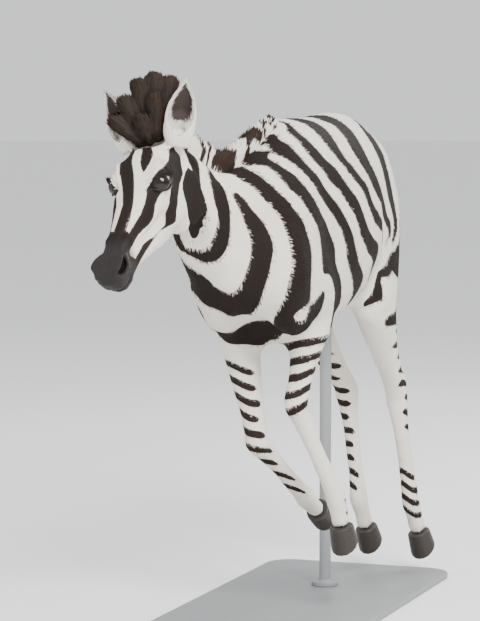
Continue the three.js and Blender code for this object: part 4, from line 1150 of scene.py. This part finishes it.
class Finish:
    def __init__(self, name, **steady):
        self.material = bpy.data.materials.new(name)
        self.material.use_nodes = True
        self.tree = self.material.node_tree
        self.shader = self.tree.nodes["Principled BSDF"]
        for socket, value in steady.items():
            self.shader.inputs[socket.replace("_", " ")].default_value = value

    def node(self, kind, settings, *values, output=0, **named):
        made = self.tree.nodes.new(kind)
        stops = settings.pop("stops", None)
        for key, value in settings.items():
            setattr(made, key, value)
        if stops:
            while len(made.color_ramp.elements) < len(stops):
                made.color_ramp.elements.new(0.5)
            for element, (stop, colour) in zip(made.color_ramp.elements, stops):
                element.position, element.color = stop, (*colour, 1)
        pairs = list(zip(made.inputs, values))
        pairs += [(made.inputs[key.replace("_", " ")], value) for key, value in named.items()]
        for socket, value in pairs:
            if isinstance(value, Wire):
                self.tree.links.new(value.socket, socket)
            elif value is not None:
                socket.default_value = value
        return Wire(self, made.outputs[output])

    def read(self, name, vector=False):
        output = "Vector" if vector else "Fac"
        return self.node("ShaderNodeAttribute", {"attribute_name": name}, output=output)

    def ownPlace(self):
        return self.node("ShaderNodeTexCoord", {}, output="Object")

    def bump(self, strength, distance, height):
        made = self.node("ShaderNodeBump", {}, Strength=strength, Distance=distance, Height=height)
        self.feed("Normal", made)

    def mix(self, share, one, two):
        made = self.tree.nodes.new("ShaderNodeMix")
        made.data_type = "RGBA"
        for socket, value in ((made.inputs[0], share), (made.inputs[6], one), (made.inputs[7], two)):
            if isinstance(value, Wire):
                self.tree.links.new(value.socket, socket)
            else:
                socket.default_value = value if socket is made.inputs[0] else (*value, 1)
        return Wire(self, made.outputs[2])

    def noise(self, vector, scale, detail=2.0, stretch=None):
        if stretch:
            vector = self.node("ShaderNodeVectorMath", {"operation": "MULTIPLY"}, vector, stretch)
        return self.node("ShaderNodeTexNoise", {}, Vector=vector, Scale=scale, Detail=detail)

    def step(self, value, start, end):
        return self.node("ShaderNodeMapRange", {"interpolation_type": "SMOOTHSTEP"}, Value=value,
                         From_Min=start, From_Max=end)

    def feed(self, socket, value):
        self.tree.links.new(value.socket, self.shader.inputs[socket])


hairColours = {"black": (0.011, 0.008, 0.007), "brown": (0.030, 0.017, 0.011), "white": (0.74, 0.71, 0.65),
               # the last colour on the next line is painted shade, near black, for the nostrils' hollows
               "cream": (0.60, 0.53, 0.43), "skin": (0.020, 0.017, 0.017), "pit": (0.003, 0.002, 0.002),
               # the next colour is painted shade in the ear's hollow, over the ear's own darker inner skin
               "ear": (0.040, 0.030, 0.027),
               "maneBlack": (0.010, 0.007, 0.006), "maneBrown": (0.045, 0.024, 0.014),
               "maneCream": (0.62, 0.52, 0.40)}
hornColours = {"dark": (0.014, 0.012, 0.011), "light": (0.052, 0.043, 0.036), "rim": (0.085, 0.070, 0.058)}
eyeColours = {"iris": (0.005, 0.003, 0.002), "rays": (0.017, 0.008, 0.004), "pupil": (0.002, 0.002, 0.003),
              "edge": (0.008, 0.005, 0.004)}
paintColours = {"dark": (0.20, 0.205, 0.21), "light": (0.25, 0.255, 0.26)}
floorColours = {"dark": (0.87, 0.87, 0.87), "light": (0.90, 0.90, 0.90)}


def coatFinish(name, kind):
    finish = Finish(name, Roughness=0.78, Specular_IOR_Level=0.12)
    spot = finish.ownPlace()
    broad = finish.noise(spot, 6.0)
    if kind == "skin":
        ragged = finish.noise(spot, 260.0)
        edge = finish.read("stripe") + (ragged - 0.5) * 0.0035
        streak = finish.noise(finish.read("grain", True), 1.0, 3.0, (1400.0, 1400.0, 150.0))
        tone = streak
    else:
        edge = finish.read("stripe")
        tone = finish.read("tone")
    dark = finish.step(edge, -0.0009, 0.0009)
    brownish = finish.step(edge + (broad - 0.5) * 0.006, 0.008, 0.0)
    blackHair = finish.mix(brownish * 0.42 + tone * 0.12, hairColours["black"], hairColours["brown"])
    creamy = finish.step(broad, 0.4, 0.75) * 0.35 + tone * 0.55
    whiteHair = finish.mix(creamy, hairColours["white"], hairColours["cream"])
    colour = finish.mix(dark, whiteHair, blackHair)
    if kind == "skin":
        bare = finish.read("bare")
        # painted shade in the ear's hollow, over the ear's own darker inner skin
        colour = finish.mix(finish.read("inner"), colour, hairColours["ear"])
        colour = finish.mix(bare, colour, hairColours["skin"])
        # painted shade: the nostril's hollow darkened to near black
        colour = finish.mix(finish.read("nostril"), colour, hairColours["pit"])
        pores = finish.noise(spot, 900.0)
        height = streak * (1 - bare) + pores * bare * 0.5
        finish.bump(0.5, 0.0007, height)
        finish.feed("Roughness", 0.72 - bare * 0.26)
    finish.feed("Base Color", colour)
    return finish.material


def maneFinish(name):
    finish = Finish(name, Roughness=0.68, Specular_IOR_Level=0.18)
    tip = finish.read("tip")
    tone = finish.read("tone")
    dark = finish.step(finish.read("stripe"), -0.0008, 0.0008)
    blackHair = finish.mix(tone * 0.35 + tip * 0.25, hairColours["maneBlack"], hairColours["maneBrown"])
    whiteHair = finish.mix(tone * 0.4, hairColours["white"], hairColours["maneCream"])
    finish.feed("Base Color", finish.mix(dark, whiteHair, blackHair))
    return finish.material


def hoofFinish():
    finish = Finish("hoof horn", Roughness=0.42, Specular_IOR_Level=0.3)
    level = finish.read("level")
    spot = finish.ownPlace()
    rings = finish.noise(finish.node("ShaderNodeCombineXYZ", {}, 0.0, 0.0, level), 420.0, 2.0)
    fibres = finish.noise(spot, 1.0, 3.0, (900.0, 900.0, 90.0))
    colour = finish.mix(rings * 0.6 + fibres * 0.3, hornColours["dark"], hornColours["light"])
    colour = finish.mix(finish.step(level, -0.008, 0.006), colour, hornColours["rim"])
    finish.feed("Base Color", colour)
    finish.feed("Roughness", 0.36 + fibres * 0.2)
    finish.bump(0.4, 0.0008, rings + fibres * 0.5)
    return finish.material


def eyeFinish():
    finish = Finish("eye", Roughness=0.08, Specular_IOR_Level=0.2, Coat_Weight=0.3, Coat_Roughness=0.03)
    gaze = finish.read("gaze", True)
    parted = finish.tree.nodes.new("ShaderNodeSeparateXYZ")
    finish.tree.links.new(gaze.socket, parted.inputs[0])
    x, y = Wire(finish, parted.outputs[0]), Wire(finish, parted.outputs[1])
    around = x * x + y * y
    pupil = finish.step(x * x / 0.13 + y * y / 0.035, 1.15, 0.85)
    rays = finish.noise(gaze, 1.0, 4.0, (26.0, 26.0, 4.0))
    iris = finish.mix(rays, eyeColours["iris"], eyeColours["rays"])
    colour = finish.mix(pupil, iris, eyeColours["pupil"])
    colour = finish.mix(finish.step(around, 0.60, 0.72), colour, eyeColours["edge"])
    finish.feed("Base Color", colour)
    return finish.material


def standFinish():
    finish = Finish("stand paint", Metallic=0.0, Roughness=0.5, Specular_IOR_Level=0.5)
    spot = finish.ownPlace()
    peel, wear = finish.noise(spot, 700.0), finish.noise(spot, 9.0, 4.0)
    finish.feed("Base Color", finish.mix(wear, paintColours["dark"], paintColours["light"]))
    finish.feed("Roughness", 0.40 + wear * 0.15)
    finish.bump(0.12, 0.0004, peel)
    return finish.material


def floorFinish():
    finish = Finish("floor", Roughness=0.8)
    spot = finish.ownPlace()
    cloudy = finish.noise(spot, 3.0)
    finish.feed("Base Color", finish.mix(cloudy, floorColours["dark"], floorColours["light"]))
    return finish.material


skinFinish, tuftFinish = coatFinish("coat", "skin"), coatFinish("coat tufts", "tuft")
lockFinish, hornFinish = maneFinish("mane"), hoofFinish()
glassFinish, paintFinish = eyeFinish(), standFinish()
for piece in list(scene.objects):
    if piece.type != "MESH" or "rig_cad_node" in piece:
        continue
    finish = None
    if piece is skin:
        finish = skinFinish
    elif piece.name.startswith(("coat_", "ear_fringe", "lashes")):
        finish = tuftFinish
    elif piece.name.endswith("_locks") or piece in cores:
        finish = lockFinish
    elif piece in hooves:
        finish = hornFinish
    elif piece in eyes:
        finish = glassFinish
    elif piece in standPieces:
        finish = paintFinish
    elif piece is floor:
        finish = floorFinish()
    piece.data.materials.clear()
    piece.data.materials.append(finish)
print("finishes are set")
